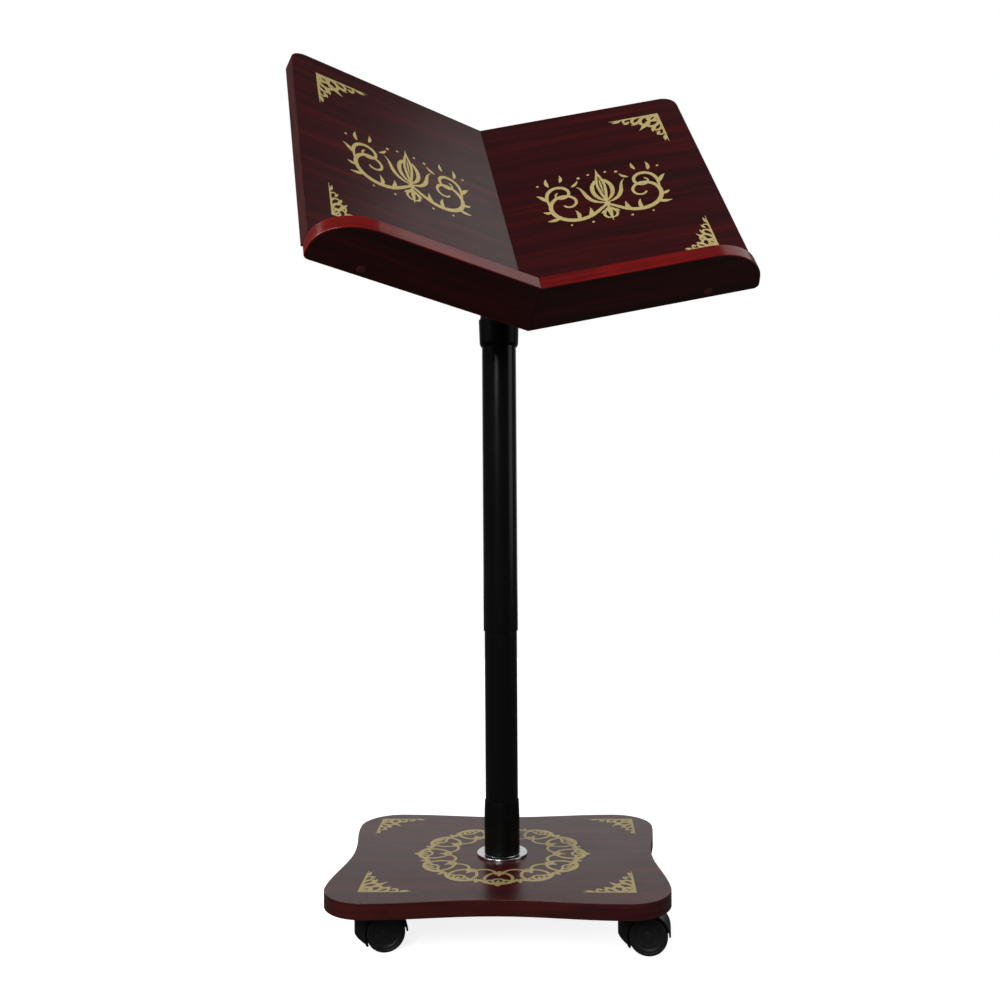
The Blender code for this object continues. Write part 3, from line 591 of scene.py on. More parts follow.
def ledge_edge(inset):
    """(x, y) points along the ledge's front, round its outer end and back along its rear."""
    front = arc(
        (PANEL_W - LEDGE_CURVE_W, LEDGE_CURVE_D - LEDGE_DEPTH),
        (LEDGE_CURVE_W - inset, LEDGE_CURVE_D - inset), -90, 0, 14,
    )
    radius = LEDGE_BACK_R - inset
    back = arc((PANEL_W - LEDGE_BACK_R, BOARD_T - LEDGE_BACK_R), (radius, radius), 0, 90, 6)
    return [(-BOARD_T, inset - LEDGE_DEPTH), *front, *back, (-BOARD_T, BOARD_T - inset)]


def band_section(low, high, rounding):
    """(inset, level) outline of a strip of edging, rounded along its two outer edges."""
    thick = EDGING_T + GAP - SEAM
    corners = [(0, low), (thick, low), (thick, high), (0, high)]
    return eased(corners, (rounding, 0, 0, rounding))


def on_side(bm, side):
    """Cuts the shape off at the desk's middle plane, and mirrors it for the left side."""
    cut = bmesh.ops.bisect_plane(
        bm, geom=[*bm.verts, *bm.edges, *bm.faces],
        plane_co=Vector((cos(FOLD), sin(FOLD), 0)) * GAP / 2, plane_no=(cos(FOLD), sin(FOLD), 0),
        clear_inner=True,
    )["geom_cut"]
    bmesh.ops.holes_fill(bm, edges=[e for e in cut if isinstance(e, bmesh.types.BMEdge)], sides=0)
    bmesh.ops.scale(bm, vec=(side, 1, 1), verts=bm.verts)
    return bm


section = band_section(BASE_BOTTOM, BASE_TOP, 0.0005)
rows = [[(x, y, z) for x, y in base_outline(inset)] for inset, z in section]
piece(
    "base_edging", lofted(rows), EDGINGS["base_edging"], "base", POLE_AXIS,
    ["base_edge_band"],
)
SIDES = {"left": -1, "right": 1}
for label, side in SIDES.items():
    section = band_section(0, BOARD_T, 0.0006)
    rows = [[(x, y, z) for x, z in panel_edge(inset)] for inset, y in section]
    strip = on_side(lofted(rows, ring=False), side)
    name = f"{label}_panel_edging"
    stands_for = [f"{label}_panel_edge_band"]
    piece(name, strip, EDGINGS[name], "desk", half_frame(side), stands_for)
    section = band_section(-BOARD_T, 0, 0.0009)
    rows = [[(x, y, z) for x, y in ledge_edge(inset)] for inset, z in section]
    strip = on_side(lofted(rows, ring=False), side)
    name = f"{label}_ledge_edging"
    stands_for = [f"{label}_ledge_edge_band"]
    piece(name, strip, EDGINGS[name], "desk", half_frame(side), stands_for)

# --------------------------------------------------------------------- pole

BORE_R = LOWER_TUBE_R + GAP
SLEEVE_R = BORE_R + SLEEVE_WALL
UPPER_TUBE_R = BORE_R + UPPER_TUBE_WALL
NECK_R = BORE_R - GAP - BUSH_WALL - GAP
sleeve_low, sleeve_top = (corner.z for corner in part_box("foot_sleeve"))
flange_low, flange_top = (corner.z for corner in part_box("foot_flange"))
ferrule_low, ferrule_top = (corner.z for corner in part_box("top_ferrule"))
collar_low, collar_top = (corner.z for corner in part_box("neck_collar"))
flange_r, skirt_r = SLEEVE_R + FLANGE_RIM, UPPER_TUBE_R + GAP
inner_r = LOWER_TUBE_R - LOWER_TUBE_WALL
hole_r = NECK_R + GAP
POLE_PIECES = {
    "foot_flange": ("pressed_flange", CHROME, "bright_steel", "base", [
        (flange_r, flange_top, 0.0009), (flange_r, flange_low, 0.0002),
        (BOLT_R + GAP, flange_low, 0), (BOLT_R + GAP, flange_top, 0.0003),
        (SLEEVE_R + 0.0010, flange_top, 0.0006), (SLEEVE_R + 0.0014, flange_top - 0.0005, 0.0002),
        (SLEEVE_R + 0.0024, flange_top - 0.0005, 0.0002), (SLEEVE_R + 0.0030, flange_top, 0.0004),
    ]),
    "lower_tube": ("lower_pole_tube", ENAMEL, "black_paint", "base", [
        (LOWER_TUBE_R, LOWER_TUBE_TOP, 0.0003), (LOWER_TUBE_R, LOWER_TUBE_LOW, 0.0002),
        (inner_r, LOWER_TUBE_LOW, 0.0002), (inner_r, LOWER_TUBE_TOP, 0.0003),
    ]),
    "upper_tube": ("upper_pole_tube", ENAMEL, "black_paint", "base", [
        (UPPER_TUBE_R, POLE_TOP, 0.0002), (UPPER_TUBE_R, UPPER_TUBE_LOW, 0.0004),
        (BORE_R, UPPER_TUBE_LOW, 0.0002), (BORE_R, POLE_TOP, 0.0002),
    ]),
    "foot_sleeve": ("pole_foot_sleeve", SLEEVE_PLASTIC, "black_plastic", "base", [
        (BORE_R + SLEEVE_LIP_WALL, sleeve_top, 0.0003), (SLEEVE_R, sleeve_top - SLEEVE_TAPER_L, 0.006),
        (SLEEVE_R, sleeve_low, 0.0003), (BORE_R, sleeve_low, 0), (BORE_R, sleeve_top, 0),
    ]),
    "top_ferrule": ("pole_top_ferrule", SLEEVE_PLASTIC, "black_plastic", "base", [
        (skirt_r + FERRULE_TOP_WALL, ferrule_top, 0.0017),
        (skirt_r + FERRULE_WAIST_WALL, ferrule_low + FERRULE_TAPER_L, 0.0015),
        (skirt_r + SLEEVE_LIP_WALL, ferrule_low, 0.0002), (skirt_r, ferrule_low, 0),
        (skirt_r, POLE_TOP + GAP, 0), (hole_r, POLE_TOP + GAP, 0), (hole_r, ferrule_top, 0.0005),
    ]),
    "neck_collar": ("neck_stop_collar", ENAMEL, "black_paint", "desk", [
        (hole_r + COLLAR_WALL, collar_top, 0.0008), (hole_r + COLLAR_WALL, collar_low, 0.0008),
        (hole_r, collar_low, 0.0003), (hole_r, collar_top, 0.0003),
    ]),
}
for node_name, (name, look, slot, body, section) in POLE_PIECES.items():
    profile = eased([(r, z) for r, z, _ in section], [radius for _, _, radius in section], 6)
    piece(name, turned(profile), look, body, POLE_AXIS, [node_name])

# ------------------------------------------------------------------- fixings


def screw_mesh():
    """Pan-head screw with a cross recess, its head above the origin."""
    slope = [
        (0, SCREW_HEAD_T), (SCREW_HEAD_R * 0.45, SCREW_HEAD_T),
        (SCREW_HEAD_R * 0.82, SCREW_HEAD_T * 0.82),
        (SCREW_HEAD_R, SCREW_HEAD_T * 0.35), (SCREW_HEAD_R, 0.0), (SCREW_SHANK_R, 0.0),
        (SCREW_SHANK_R, -PLATE_TOP + PLATE_BOTTOM), (0, -PLATE_TOP + PLATE_BOTTOM),
    ]
    arm, half, deep = 0.0021, 0.00045, 0.0011
    recess = [
        ("DIFFERENCE", block((-arm, -half, SCREW_HEAD_T - deep), (arm, half, 1))),
        ("DIFFERENCE", block((-half, -arm, SCREW_HEAD_T - deep), (half, arm, 1))),
    ]
    return carved("cross_head_screw", turned(slope, 40), recess)


CROSS_SCREW = screw_mesh()
CROSS_SCREW.materials.append(ZINC)
caster_x, caster_y = BASE_W / 2 - CASTER_INSET_X, BASE_D / 2 - CASTER_INSET_Y
CASTER_PLACES = {
    corner: POLE_AXIS @ Matrix.Translation((
        caster_x if corner.endswith("right") else -caster_x,
        -caster_y if corner.startswith("front") else caster_y, 0,
    ))
    for corner in CASTER_TURN
}
for corner, place in CASTER_PLACES.items():
    for i, (sign_x, sign_y) in enumerate(((-1, -1), (1, -1), (-1, 1), (1, 1))):
        seat = Vector((sign_x * PLATE_HOLE_PITCH / 2, sign_y * PLATE_HOLE_PITCH / 2, PLATE_BOTTOM))
        lay = Matrix.Rotation(pi, 4, "X") @ Matrix.Rotation(0.7 * i + seat.x * 90, 4, "Z")
        lay = place @ Matrix.Translation(seat) @ lay
        piece(f"{corner}_plate_screw_{i + 1}", CROSS_SCREW, ZINC, "base", lay)

for label, side in SIDES.items():
    x = side * (SADDLE_REACH - SADDLE_SCREW_EDGE)
    for level_name, up_saddle in (("lower", SADDLE_SCREW_EDGE), ("upper", SADDLE_H - SADDLE_SCREW_EDGE)):
        z = SADDLE_BOTTOM + up_saddle
        lay = Matrix.Translation((x, SADDLE_BACK + GAP, z)) @ Matrix.Rotation(-pi / 2, 4, "X")
        lay = half_frame(side) @ lay @ Matrix.Rotation(0.4 + z * 9, 4, "Z")
        head = bmesh.new()
        head.from_mesh(CROSS_SCREW)
        node_name = f"{label}_{level_name}_saddle_screw"
        piece(f"{node_name}_head", head, ZINC, "desk", lay, [node_name])
    seat = (side * (PANEL_W - LEDGE_SCREW_FROM_END), BOARD_T / 2, -BOARD_T)
    place = half_frame(side) @ Matrix.Translation(seat)
    dome = [
        (0, 0.0015), (CAP_R, 0.0015), (CAP_R, -0.0001), (CAP_R * 0.90, -CAP_PROUD * 0.70),
        (CAP_R * 0.66, -CAP_PROUD * 0.95), (CAP_R * 0.3, -CAP_PROUD), (0, -CAP_PROUD),
    ]
    piece(
        f"{label}_domed_cap", turned(dome, 48), CAP_PLASTIC, "desk", place,
        [f"{label}_screw_cap"], 50,
    )


def bead(path, radius, closed):
    """A bmesh of a weld bead. The path has rows of a point and two directions across it."""
    rows = []
    for i, (point, out, over) in enumerate(path):
        swell = radius * (1 + 0.10 * sin(i * 1.9) + 0.05 * sin(i * 0.73))
        spokes = [2 * pi * k / 10 for k in range(10)]
        spread = [cos(a) * Vector(out) + sin(a) * Vector(over) for a in spokes]
        rows.append([Vector(point) + swell * spoke for spoke in spread])
    return lofted(rows, closed=closed)


def saddle_height(x, y):
    """Height of the saddle's back over a point near the pole's axis, in the desk's turning frame."""
    swivel = Matrix.Rotation(-DESK_TURN, 4, "Z") @ POLE_AXIS.inverted()
    heights = []
    for side in SIDES.values():
        back = swivel @ half_frame(side)
        point, normal = back @ Vector((0, SADDLE_BACK, 0)), back.to_3x3() @ Vector((0, 1, 0))
        heights.append(point.z - (normal.x * (x - point.x) + normal.y * (y - point.y)) / normal.z)
    return max(heights)


SWIVEL = POLE_AXIS @ Matrix.Rotation(DESK_TURN, 4, "Z")
neck_weld = []
for i in range(NECK_WELD_STEPS):
    a = 2 * pi * i / NECK_WELD_STEPS
    out = Vector((cos(a), sin(a), 0))
    x, y = out.xy * NECK_R
    neck_weld.append(((x, y, saddle_height(x, y) - NECK_WELD_SINK), out, (0, 0, 1)))
piece("neck_weld", bead(neck_weld, NECK_WELD_R, True), ENAMEL, "desk", SWIVEL, sharp=60)

gusset_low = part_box("neck_gusset")[0].z
gusset_top = saddle_height(0, NECK_R) - GUSSET_WELD_SHORT
for label, side in SIDES.items():
    x, y = side * GUSSET_T / 2, NECK_R + GAP
    heights = [
        gusset_low + GUSSET_WELD_START + (gusset_top - gusset_low) * i / GUSSET_WELD_STEPS
        for i in range(GUSSET_WELD_STEPS + 1)
    ]
    weld = bead([((x, y, z), (1, 0, 0), (0, 1, 0)) for z in heights], GUSSET_WELD_R, False)
    piece(f"gusset_{label}_weld", weld, ENAMEL, "desk", SWIVEL, sharp=60)

# ------------------------------------------------------------------- casters


def hood_mesh():
    """Hood, web and kingpin boss in one moulding, with softly rounded edges."""
    axle = Vector((CASTER_TRAIL, 0, WHEEL_R))
    half_w = Vector((0, WHEEL_INNER + WHEEL_T, 0))
    far = 4 * WHEEL_R
    across = Vector((0, far, 0))
    web = Vector((0, WEB_T / 2, 0))
    lip_r = WHEEL_R + HOOD_GAP + HOOD_LIP_T
    lip_x = CASTER_TRAIL - lip_r * cos(HOOD_LIP_ANGLE)
    lip_z = WHEEL_R - lip_r * sin(HOOD_LIP_ANGLE)
    under = [
        (-far, -far), (far, -far), (far, WHEEL_R), (CASTER_TRAIL, WHEEL_R), (lip_x, lip_z),
        (-far, lip_z + tan(HOOD_SLOPE) * (lip_x + far)),
    ]
    cuts = [
        ("UNION", rod(NOSE_R, (0, 0, WHEEL_R / 2), (0, 0, PLATE_BOTTOM - 2 * GAP))),
        ("DIFFERENCE", lofted([[(x, y, z) for x, z in under] for y in (-far, far)], closed=False)),
        ("UNION", rod(AXLE_BOSS_R, axle - web, axle + web)),
        ("DIFFERENCE", rod(WHEEL_R + HOOD_GAP, axle + web, axle + across, 96)),
        ("DIFFERENCE", rod(WHEEL_R + HOOD_GAP, axle - across, axle - web, 96)),
        ("DIFFERENCE", rod(AXLE_R + GAP, axle - across, axle + across)),
        ("DIFFERENCE", rod(KINGPIN_R + GAP, (0, 0, PLATE_TOP - KINGPIN_L - GAP), (0, 0, PLATE_TOP))),
    ]
    finishing = [
        ("REMESH", {"mode": "VOXEL", "voxel_size": HOOD_VOXEL}),
        ("SMOOTH", {"factor": 0.5, "iterations": 4}),
        ("DECIMATE", {"ratio": 0.35}),
    ]
    shell = rod(WHEEL_R + HOOD_GAP + HOOD_WALL, axle - half_w, axle + half_w, 96)
    return carved("caster_hood", shell, cuts, finishing)


def wheel_mesh():
    """Wheel with rounded shoulders, a dished face, a raised hub and ribs. It lies on its inner face."""
    face, bore = WHEEL_T - WHEEL_DISH, AXLE_R + GAP
    section = [
        (0, face + 0.0006, 0), (HUB_R, face + 0.0006, 0.0004), (HUB_R + 0.0004, face, 0.0003),
        (0.0128, face, 0.0004), (0.0138, WHEEL_T, 0.0006), (0.0160, WHEEL_T, 0.0003),
        (0.0163, WHEEL_T - 0.0005, 0.0002), (0.0167, WHEEL_T - 0.0005, 0.0002),
        (0.0170, WHEEL_T, 0.0003),
        (WHEEL_R, WHEEL_T, 0.0024), (WHEEL_R, 0, 0.0016), (bore, 0, 0.0003),
        (bore, AXLE_BORE, 0), (0, AXLE_BORE, 0),
    ]
    profile = eased([(r, z) for r, z, _ in section], [radius for _, _, radius in section])
    low, high = (HUB_R - 0.0006, -0.0005, face - 0.0006), (0.0134, 0.0005, face + 0.0005)
    turns = [Matrix.Rotation(pi * k / 3, 4, "Z") for k in range(6)]
    ribs = [("UNION", block(low, high, rib_turn)) for rib_turn in turns]
    return carved("caster_wheel", turned(profile, 72), ribs)


HOOD, WHEEL = hood_mesh(), wheel_mesh()
for corner, place in CASTER_PLACES.items():
    turn = place @ Matrix.Rotation(radians(CASTER_TURN[corner]), 4, "Z")
    piece(
        f"{corner}_moulded_hood", HOOD, BLACK_PLASTIC, f"{corner}_caster", turn,
        [f"{corner}_caster_hood"], 60,
    )
    for label, side in (("inner", 1), ("outer", -1)):
        lay = Matrix.Translation((CASTER_TRAIL, side * WHEEL_INNER, WHEEL_R))
        lay = lay @ Matrix.Rotation(-side * pi / 2, 4, "X")
        piece(
            f"{corner}_{label}_dished_wheel", WHEEL, WHEEL_PLASTIC,
            f"{corner}_{label}_wheel", turn @ lay, [f"{corner}_caster_{label}_wheel"],
        )

# ------------------------------------------------------------- gilt ornament

# For each way in which a cell's corners can lie inside the shape, the sides that its outline joins
CROSSINGS = (
    "", "03", "10", "13", "21", "0321", "20", "23", "32", "02", "1032", "12", "31", "01", "30", ""
)
FOIL_UNDER, FOIL_OVER = -0.04, 0.06


class Stencil:
    """A flat pierced shape, kept as distances to its outline on a grid, in millimetres."""

    def __init__(self, low, high, step=0.25, weight=1.0):
        self.low, self.step, self.weight = np.array(low, float), step, weight
        count = np.ceil((np.array(high) - self.low) / step).astype(int) + 1
        self.field = np.full(count, 9.0)

    def distances(self, stroke):
        """Distances to a stroke, which has rows of x, y and half width."""
        field = np.full(self.field.shape, 9.0)
        for start, end in zip(stroke[:-1], stroke[1:]):
            reach = max(start[2], end[2]) + 1.0
            near = (np.minimum(start[:2], end[:2]) - reach - self.low) / self.step
            far = (np.maximum(start[:2], end[:2]) + reach - self.low) / self.step
            first = np.maximum(np.floor(near).astype(int), 0)
            last = np.minimum(np.ceil(far).astype(int) + 1, field.shape)
            if (first >= last).any():
                continue
            x = self.low[0] + np.arange(first[0], last[0])[:, None] * self.step - start[0]
            y = self.low[1] + np.arange(first[1], last[1])[None, :] * self.step - start[1]
            run = end[:2] - start[:2]
            t = np.clip((x * run[0] + y * run[1]) / max(run @ run, 1e-9), 0, 1)
            away = np.hypot(x - t * run[0], y - t * run[1]) - start[2] - t * (end[2] - start[2])
            window = field[first[0]:last[0], first[1]:last[1]]
            np.minimum(window, away, out=window)
        return field

    def ink(self, *strokes):
        for stroke in strokes:
            self.field = np.minimum(self.field, self.distances(stroke * (1, 1, self.weight)))

    def cut(self, *strokes):
        for stroke in strokes:
            self.field = np.maximum(self.field, -self.distances(stroke))

    def at(self, point):
        """Distance at a point, from the grid's four nearest values."""
        place = (np.array(point) - self.low) / self.step
        i, j = place.astype(int)
        u, v = place - (i, j)
        cell = self.field[i:i + 2, j:j + 2]
        near, far = ((1 - v) * cell[i, 0] + v * cell[i, 1] for i in (0, 1))
        return (1 - u) * near + u * far

    def crossing(self, upright, i, j):
        """Where the outline crosses one side of the grid's cells."""
        along = np.array((1 - upright, upright))
        a, b = self.field[i, j], self.field[i + along[0], j + along[1]]
        return self.low + self.step * (np.array((i, j)) + along * a / (a - b))

    def rings(self):
        """The shape's outlines, each a closed ring of points."""
        inside = (self.field < 0).astype(int)
        case = inside[:-1, :-1] + 2 * inside[1:, :-1] + 4 * inside[1:, 1:] + 8 * inside[:-1, 1:]
        onward = {}
        for i, j in np.argwhere((case > 0) & (case < 15)):
            sides = ((0, i, j), (1, i + 1, j), (0, i, j + 1), (1, i, j))
            joins = [int(digit) for digit in CROSSINGS[case[i, j]]]
            for a, b in zip(joins[::2], joins[1::2]):
                onward[sides[a]] = sides[b]
        rings = []
        while onward:
            here, ring = next(iter(onward)), []
            while here in onward:
                ring.append(self.crossing(*here))
                here = onward.pop(here)
            rings.append(np.array(ring))
        return rings

    def foil(self, lay):
        """A bmesh of the shape as a thin foil, laid by a matrix whose Z points out of the board."""
        points, edges = [], []
        for ring in self.rings():
            ring = thinned(ring)
            if len(ring) < 4:
                continue
            first, count = len(points), len(ring)
            points += [Vector(p) for p in ring]
            edges += [(first + i, first + (i + 1) % count) for i in range(count)]
        flat, _, faces, *_ = delaunay_2d_cdt(points, edges, [], 1, 1e-6)
        bm = bmesh.new()
        corners = [bm.verts.new((p.x, p.y, FOIL_UNDER)) for p in flat]
        for face in faces:
            if self.at(sum((flat[i] for i in face), Vector((0, 0))) / len(face)) < 0:
                bm.faces.new([corners[i] for i in face])
        bmesh.ops.delete(bm, geom=[v for v in bm.verts if not v.link_faces], context="VERTS")
        raised = bmesh.ops.extrude_face_region(bm, geom=bm.faces[:])["geom"]
        raised = [v for v in raised if isinstance(v, bmesh.types.BMVert)]
        bmesh.ops.translate(bm, vec=(0, 0, FOIL_OVER - FOIL_UNDER), verts=raised)
        bmesh.ops.transform(bm, matrix=lay @ Matrix.Scale(0.001, 4), verts=bm.verts)
        return bm


def thinned(ring, slack=0.015):
    """The ring without the points that lie nearly in line with their neighbours."""
    for _ in range(4):
        before, after = np.roll(ring, 1, 0), np.roll(ring, -1, 0)
        chord, reach = after - before, ring - before
        off = abs(chord[:, 0] * reach[:, 1] - chord[:, 1] * reach[:, 0]) / (np.hypot(*chord.T) + 1e-9)
        ring = ring[(off > slack) | (np.arange(len(ring)) % 2 == 0)]
    return ring


def tendril(x, y, heading, length, bends, widths, count=50):
    """A stroke from a point along a heading. Its bends, in degrees per millimetre, and its half widths
    are spread evenly along it."""
    run = (np.arange(count) + 0.5) / count
    bend = np.interp(run, np.linspace(0, 1, len(bends)), bends) * length / count
    angle = np.radians(heading + np.cumsum(bend) - bend / 2)
    step = length / count
    xs = np.concatenate([[x], x + np.cumsum(np.cos(angle)) * step])
    ys = np.concatenate([[y], y + np.cumsum(np.sin(angle)) * step])
    swell = np.interp(np.linspace(0, 1, count + 1), np.linspace(0, 1, len(widths)), widths)
    return np.column_stack([xs, ys, swell])


def leaf(x, y, heading, length, bend, width):
    """A pointed leaf, fullest a third of the way along."""
    widths = [width * share for share in (0.25, 0.75, 1.0, 0.95, 0.7, 0.4, 0.06)]
    return tendril(x, y, heading, length, [bend], widths, 18)


def flowing(*points):
    """A smooth stroke through rows of x, y and half width."""
    p = np.array([points[0], *points, points[-1]], float)
    rows = []
    for a, b, c, d in zip(p[:-3], p[1:-2], p[2:-1], p[3:]):
        for t in np.arange(10) / 10:
            squared, cubed = 2 * a - 5 * b + 4 * c - d, 3 * b - a - 3 * c + d
            rows.append(b + (c - a) * t / 2 + squared * t ** 2 / 2 + cubed * t ** 3 / 2)
    rows.append(p[-1])
    line = np.array(rows)
    line[:, 2] = np.maximum(line[:, 2], 0.05)
    return line


def dot(x, y, radius):
    return np.array([(x, y, radius), (x + 0.01, y, radius)])


def bow(x, y, radius, start, end, width):
    """A stroke along part of a circle."""
    a = np.radians(np.linspace(start, end, 41))
    return np.column_stack([x + radius * np.cos(a), y + radius * np.sin(a), np.full(41, width)])


def paired(*strokes):
    """The strokes with their mirror images across x = 0."""
    return [*strokes, *(stroke * (-1, 1, 1) for stroke in strokes)]


def arabesque():
    """The large ornament of a panel: a palmette between two scrolling stems."""
    s = Stencil((-76, -52), (76, 52))
    s.ink(*paired(
        tendril(
            0, -20, -32, 150, [-1.2, 1.6, 2.0, 2.4, 3.2, 5.0, 9.0],
            [1.6, 2.5, 2.7, 2.5, 2.2, 1.7, 1.2], 90,
        ),
        tendril(63.5, -6, 92, 84, [-1.6, 3.0, 4.6, 5.2, 7.0, 12.0], [1.0, 2.0, 2.2, 1.9, 1.5, 1.0], 70),
        tendril(1.5, -14, 40, 50, [1.6, 2.6, 1.8, 3.5, 12.0], [1.0, 2.2, 2.5, 2.0, 1.1]),
        tendril(2.0, -17, 12, 46, [1.6, 3.0, 2.2, -1.0, -6.0], [0.9, 2.0, 2.4, 1.7, 0.3]),
        tendril(0, -26, -50, 26, [3.0, -5.0, -9.0, -13.0], [1.5, 1.7, 1.4, 0.9]),
        leaf(24, -37, 128, 17, -3.0, 2.4), leaf(36, -38, 112, 17, -3.0, 2.3),
        leaf(56, -30, -28, 15, 2.6, 2.4), leaf(63, -19, 4, 10, 3.2, 2.1),
        leaf(65, 2, 70, 16, -2.2, 2.4), leaf(58, 27, 66, 15, 3.0, 2.1),
        leaf(44, 31.5, 120, 13, -3.4, 1.9), leaf(33, 20, 160, 13, -4.0, 1.8),
        leaf(3, -30, -18, 10, -4.0, 1.5),
        dot(22, 33, 1.8), dot(10, 36, 1.5), dot(70, 31, 1.5), dot(22, -46, 1.5), dot(46, -45, 1.3),
    ))
    s.ink(flowing(
        (0, -21, 0.8), (0, -10, 2.4), (0, 2, 4.6), (0, 14, 5.6), (0, 26, 4.0), (0, 35, 1.6), (0, 44, 0.1)
    ))
    s.cut(flowing((0, -6, 0.1), (0, 4, 1.6), (0, 14, 2.6), (0, 23, 1.6), (0, 31, 0.1)))
    s.ink(flowing((0, -1, 0.1), (0, 6, 0.7), (0, 14, 1.1), (0, 21, 0.7), (0, 26, 0.1)))
    s.ink(dot(0, -20, 3.4), flowing((0, -24, 1.2), (0, -31, 2.6), (0, -39, 1.9), (0, -49, 0.1)))
    return s


def spandrel(across, up):
    """A corner ornament, its right angle at the origin and its legs along x and y."""
    s = Stencil((-2, -2), (across + 2, up + 2), 0.2, 1.4)
    k = min(across, up) / 52
    for leg, upright in ((across, False), (up, True)):
        u = leg / 57
        strokes = [
            flowing(
                (0.6, 0.9, 1.0 * k), (leg * 0.4, 0.8, 0.9 * k), (leg * 0.75, 0.7, 0.7 * k), (leg, 0.3, 0.1)
            ),
            tendril(
                leg * 0.15, 1.2, 2, 34 * u, [0.5 / u, 4.6 / u, 7 / u, 9 / u, 15 / u],
                [0.8 * k, 1.3 * k, 1.5 * k, 1.2 * k, 0.9 * k],
            ),
            tendril(
                leg * 0.40, 1.2, 4, 22 * u, [1.0 / u, 8 / u, 11 / u, 17 / u, 24 / u],
                [0.7 * k, 1.2 * k, 1.2 * k, 1.0 * k, 0.8 * k],
            ),
            tendril(
                leg * 0.62, 1.0, 6, 13 * u, [1.0 / u, 13 / u, 20 / u, 28 / u],
                [0.6 * k, 0.9 * k, 0.9 * k, 0.7 * k],
            ),
            leaf(leg * 0.76, 1.2, 22, 11 * u, -1.5, 1.5 * k),
            leaf(leg * 0.61, 6.0 * u, 50, 8 * u, -5, 1.3 * k),
            leaf(leg * 0.42, 8.6 * u, 50, 11 * u, -4, 1.6 * k),
            leaf(leg * 0.20, 2.0 * u, 62, 8.5 * u, 4, 1.3 * k),
        ]
        s.ink(*(stroke[:, [1, 0, 2]] if upright else stroke for stroke in strokes))
    stretch = (across / 57, up / 57, k)
    heart = [
        (1, 1, 1.2), (4, 4, 2.4), (7.5, 7.5, 2.9), (11, 11, 2.0),
        (14, 14, 1.2), (18, 18, 2.0), (22, 22, 1.3), (27, 27, 0.1),
    ]
    s.ink(flowing(*(np.array(p) * stretch for p in heart)))
    s.cut(flowing(*(np.array(p) * stretch for p in ((5, 5, 0.2), (7.3, 7.3, 1.2), (10, 10, 0.2)))))
    return s


def medallion():
    """The ring ornament of the base: twelve lobes with hearts inside, and bows that link them."""
    s = Stencil((-101, -101), (101, 101), 0.3, 1.65)
    lobe = paired(
        bow(0, 72, 21.3, 24, 156, 1.05),
        tendril(0, 57.5, 30, 68, [0.6, 2.6, 3.4, 4.6, 7.0, 12.0], [0.9, 1.05, 1.05, 1.0, 0.9], 60),
        flowing((0, 60.5, 0.6), (0, 65, 1.5), (0, 71, 0.2)),
        flowing((0, 83, 0.2), (0, 86, 1.3), (0, 90, 0.3)),
    )
    link = [
        bow(0, 66.5, 13.5, 196, 344, 0.95), bow(0, 64, 22, 52, 128, 0.95),
        flowing((0, 84.5, 0.2), (0, 88.5, 1.4), (0, 92.5, 0.1)),
    ]
    bud = [flowing((0, 92.6, 0.9), (0, 95, 1.9), (0, 99, 0.1))]
    for strokes, count, phase in ((lobe, 12, 0), (link, 12, pi / 12), (bud, 4, 0)):
        for a in (phase + 2 * pi * i / count for i in range(count)):
            spin = np.array([(cos(a), sin(a), 0), (-sin(a), cos(a), 0), (0, 0, 1)])
            s.ink(*(stroke @ spin for stroke in strokes))
    return s


def on_board(board, x, y, flip_x=1, flip_y=1):
    """Lays an ornament on a board: at (x, y) in millimetres, its axes turned over where a flip is -1."""
    return board @ Matrix.Translation((x / 1000, y / 1000, 0)) @ Matrix.Diagonal((flip_x, flip_y, 1, 1))


FACE_OUT = Matrix(((1, 0, 0, 0), (0, 0, -1, 0), (0, 1, 0, 0), (0, 0, 0, 1)))
BASE_FACE = POLE_AXIS @ Matrix.Translation((0, 0, BASE_TOP))
for label, side in SIDES.items():
    board = half_frame(side) @ FACE_OUT
    for name, stencil, place in (
        ("arabesque", arabesque(), on_board(board, side * 116, 160)),
        ("upper_corner_ornament", spandrel(60, 57), on_board(board, side * 212, 288, -side, -1)),
        ("lower_corner_ornament", spandrel(38, 50), on_board(board, side * 213, 41, -side, 1)),
    ):
        piece(f"{label}_{name}", stencil.foil(place), PANEL_GILT, "desk")
piece("base_medallion", medallion().foil(BASE_FACE), BASE_GILT, "base")
for corner, (x, y) in {
    "front_left": (-141, -115), "front_right": (141, -115),
    "back_left": (-155, 127), "back_right": (155, 127),
}.items():
    flip_x, flip_y = (-1 if x > 0 else 1), (-1 if y > 0 else 1)
    foil = spandrel(55, 60).foil(on_board(BASE_FACE, x, y, flip_x, flip_y))
    piece(f"base_{corner}_ornament", foil, BASE_GILT, "base")


# -------------------------------------------------------------------- camera

CAMERA_YAW, CAMERA_PITCH, CAMERA_ROLL = -0.0239, -0.0143, -0.0069
forward = Vector((
    sin(CAMERA_YAW) * cos(CAMERA_PITCH), cos(CAMERA_YAW) * cos(CAMERA_PITCH), -sin(CAMERA_PITCH)
))
level = Vector((cos(CAMERA_YAW), -sin(CAMERA_YAW), 0))
up = level.cross(forward)
camera_x = cos(CAMERA_ROLL) * level + sin(CAMERA_ROLL) * up
camera_y = cos(CAMERA_ROLL) * up - sin(CAMERA_ROLL) * level
camera_data = bpy.data.cameras.new("camera")
camera_data.sensor_width = 36.0
camera_data.lens = 36.5665
camera_data.shift_x = -0.0285
camera_data.shift_y = -0.00615
camera = bpy.data.objects.new("camera", camera_data)
turn = Matrix((camera_x, camera_y, -forward)).transposed()
camera.matrix_world = Matrix.Translation((POLE.x + 0.0598, POLE.y - 1.1477, 0.4542)) @ turn.to_4x4()
bpy.context.scene.collection.objects.link(camera)
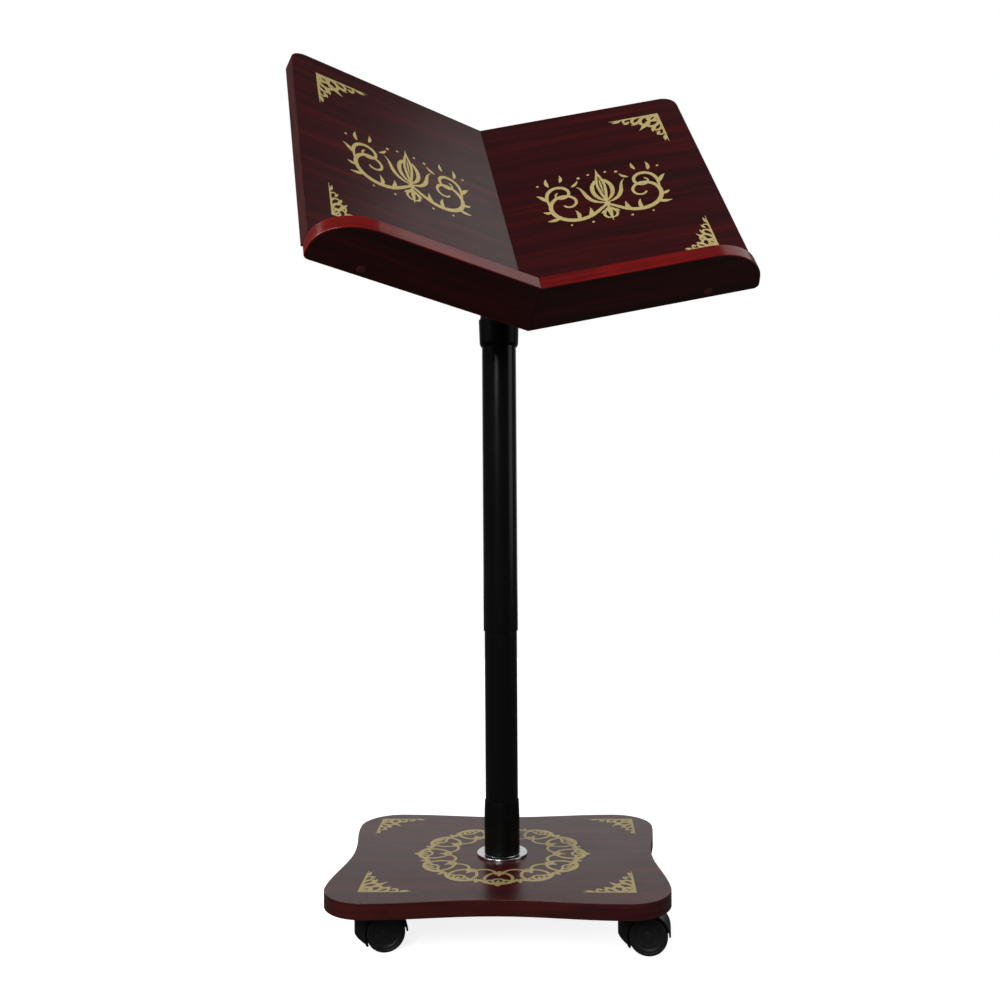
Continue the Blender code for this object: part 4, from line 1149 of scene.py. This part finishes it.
bpy.context.scene.camera = camera

# -------------------------------------------------------------------- studio


def area_light(name, place, aim, size, power):
    data = bpy.data.lights.new(name, "AREA")
    data.shape = "RECTANGLE"
    data.size, data.size_y = size
    data.energy = power
    light = bpy.data.objects.new(name, data)
    light.location = place
    light.rotation_euler = (Vector(aim) - Vector(place)).to_track_quat("-Z", "Y").to_euler()
    light.visible_camera = False
    bpy.context.scene.collection.objects.link(light)


area_light("key", (-0.62, -2.0, 1.55), (0, 0, 0.5), (0.7, 1.0), 30)
area_light("upper_left", (-1.7, -0.6, 1.9), (0, 0, 0.5), (1.0, 1.0), 18)
area_light("right", (1.7, -0.15, 0.9), (0, 0, 0.5), (0.9, 1.2), 3.5)
area_light("behind_right", (0.80, 0.42, 1.75), (-0.1, -0.03, 0.8), (0.75, 0.9), 1.9)
area_light("backdrop", (0.0, 2.6, 0.9), (0, 0, 0.3), (4.0, 1.6), 11)

world = bpy.data.worlds.new("studio")
bpy.context.scene.world = world
world.use_nodes = True
air = world.node_tree
seen = air.nodes["Background"]
seen.inputs["Color"].default_value = (1, 1, 1, 1)
around = air.nodes.new("ShaderNodeBackground")
around.inputs["Color"].default_value = (1, 1, 1, 1)
around.inputs["Strength"].default_value = 0.07
path, either = air.nodes.new("ShaderNodeLightPath"), air.nodes.new("ShaderNodeMixShader")
air.links.new(path.outputs["Is Camera Ray"], either.inputs[0])
air.links.new(around.outputs[0], either.inputs[1])
air.links.new(seen.outputs[0], either.inputs[2])
air.links.new(either.outputs[0], air.nodes["World Output"].inputs[0])
bpy.context.scene.view_settings.view_transform = "Standard"

floor_mesh = bpy.data.meshes.new("floor")
floor_mesh.from_pydata([(-2, -2, 0), (2, -2, 0), (2, 2, 0), (-2, 2, 0)], [], [(0, 1, 2, 3)])
floor = bpy.data.objects.new("floor", floor_mesh)
bpy.context.scene.collection.objects.link(floor)
paper = Finish("floor_paper")
floor_mesh.materials.append(paper.surface(
    Base_Color=paper.mix(paper.noise(paper.place, 3.0), (0.86, 0.86, 0.86), (0.88, 0.88, 0.88)),
    Roughness=0.9,
    Emission_Color=(1, 1, 1), Emission_Strength=0.85,
))
floor.visible_glossy = floor.visible_diffuse = False
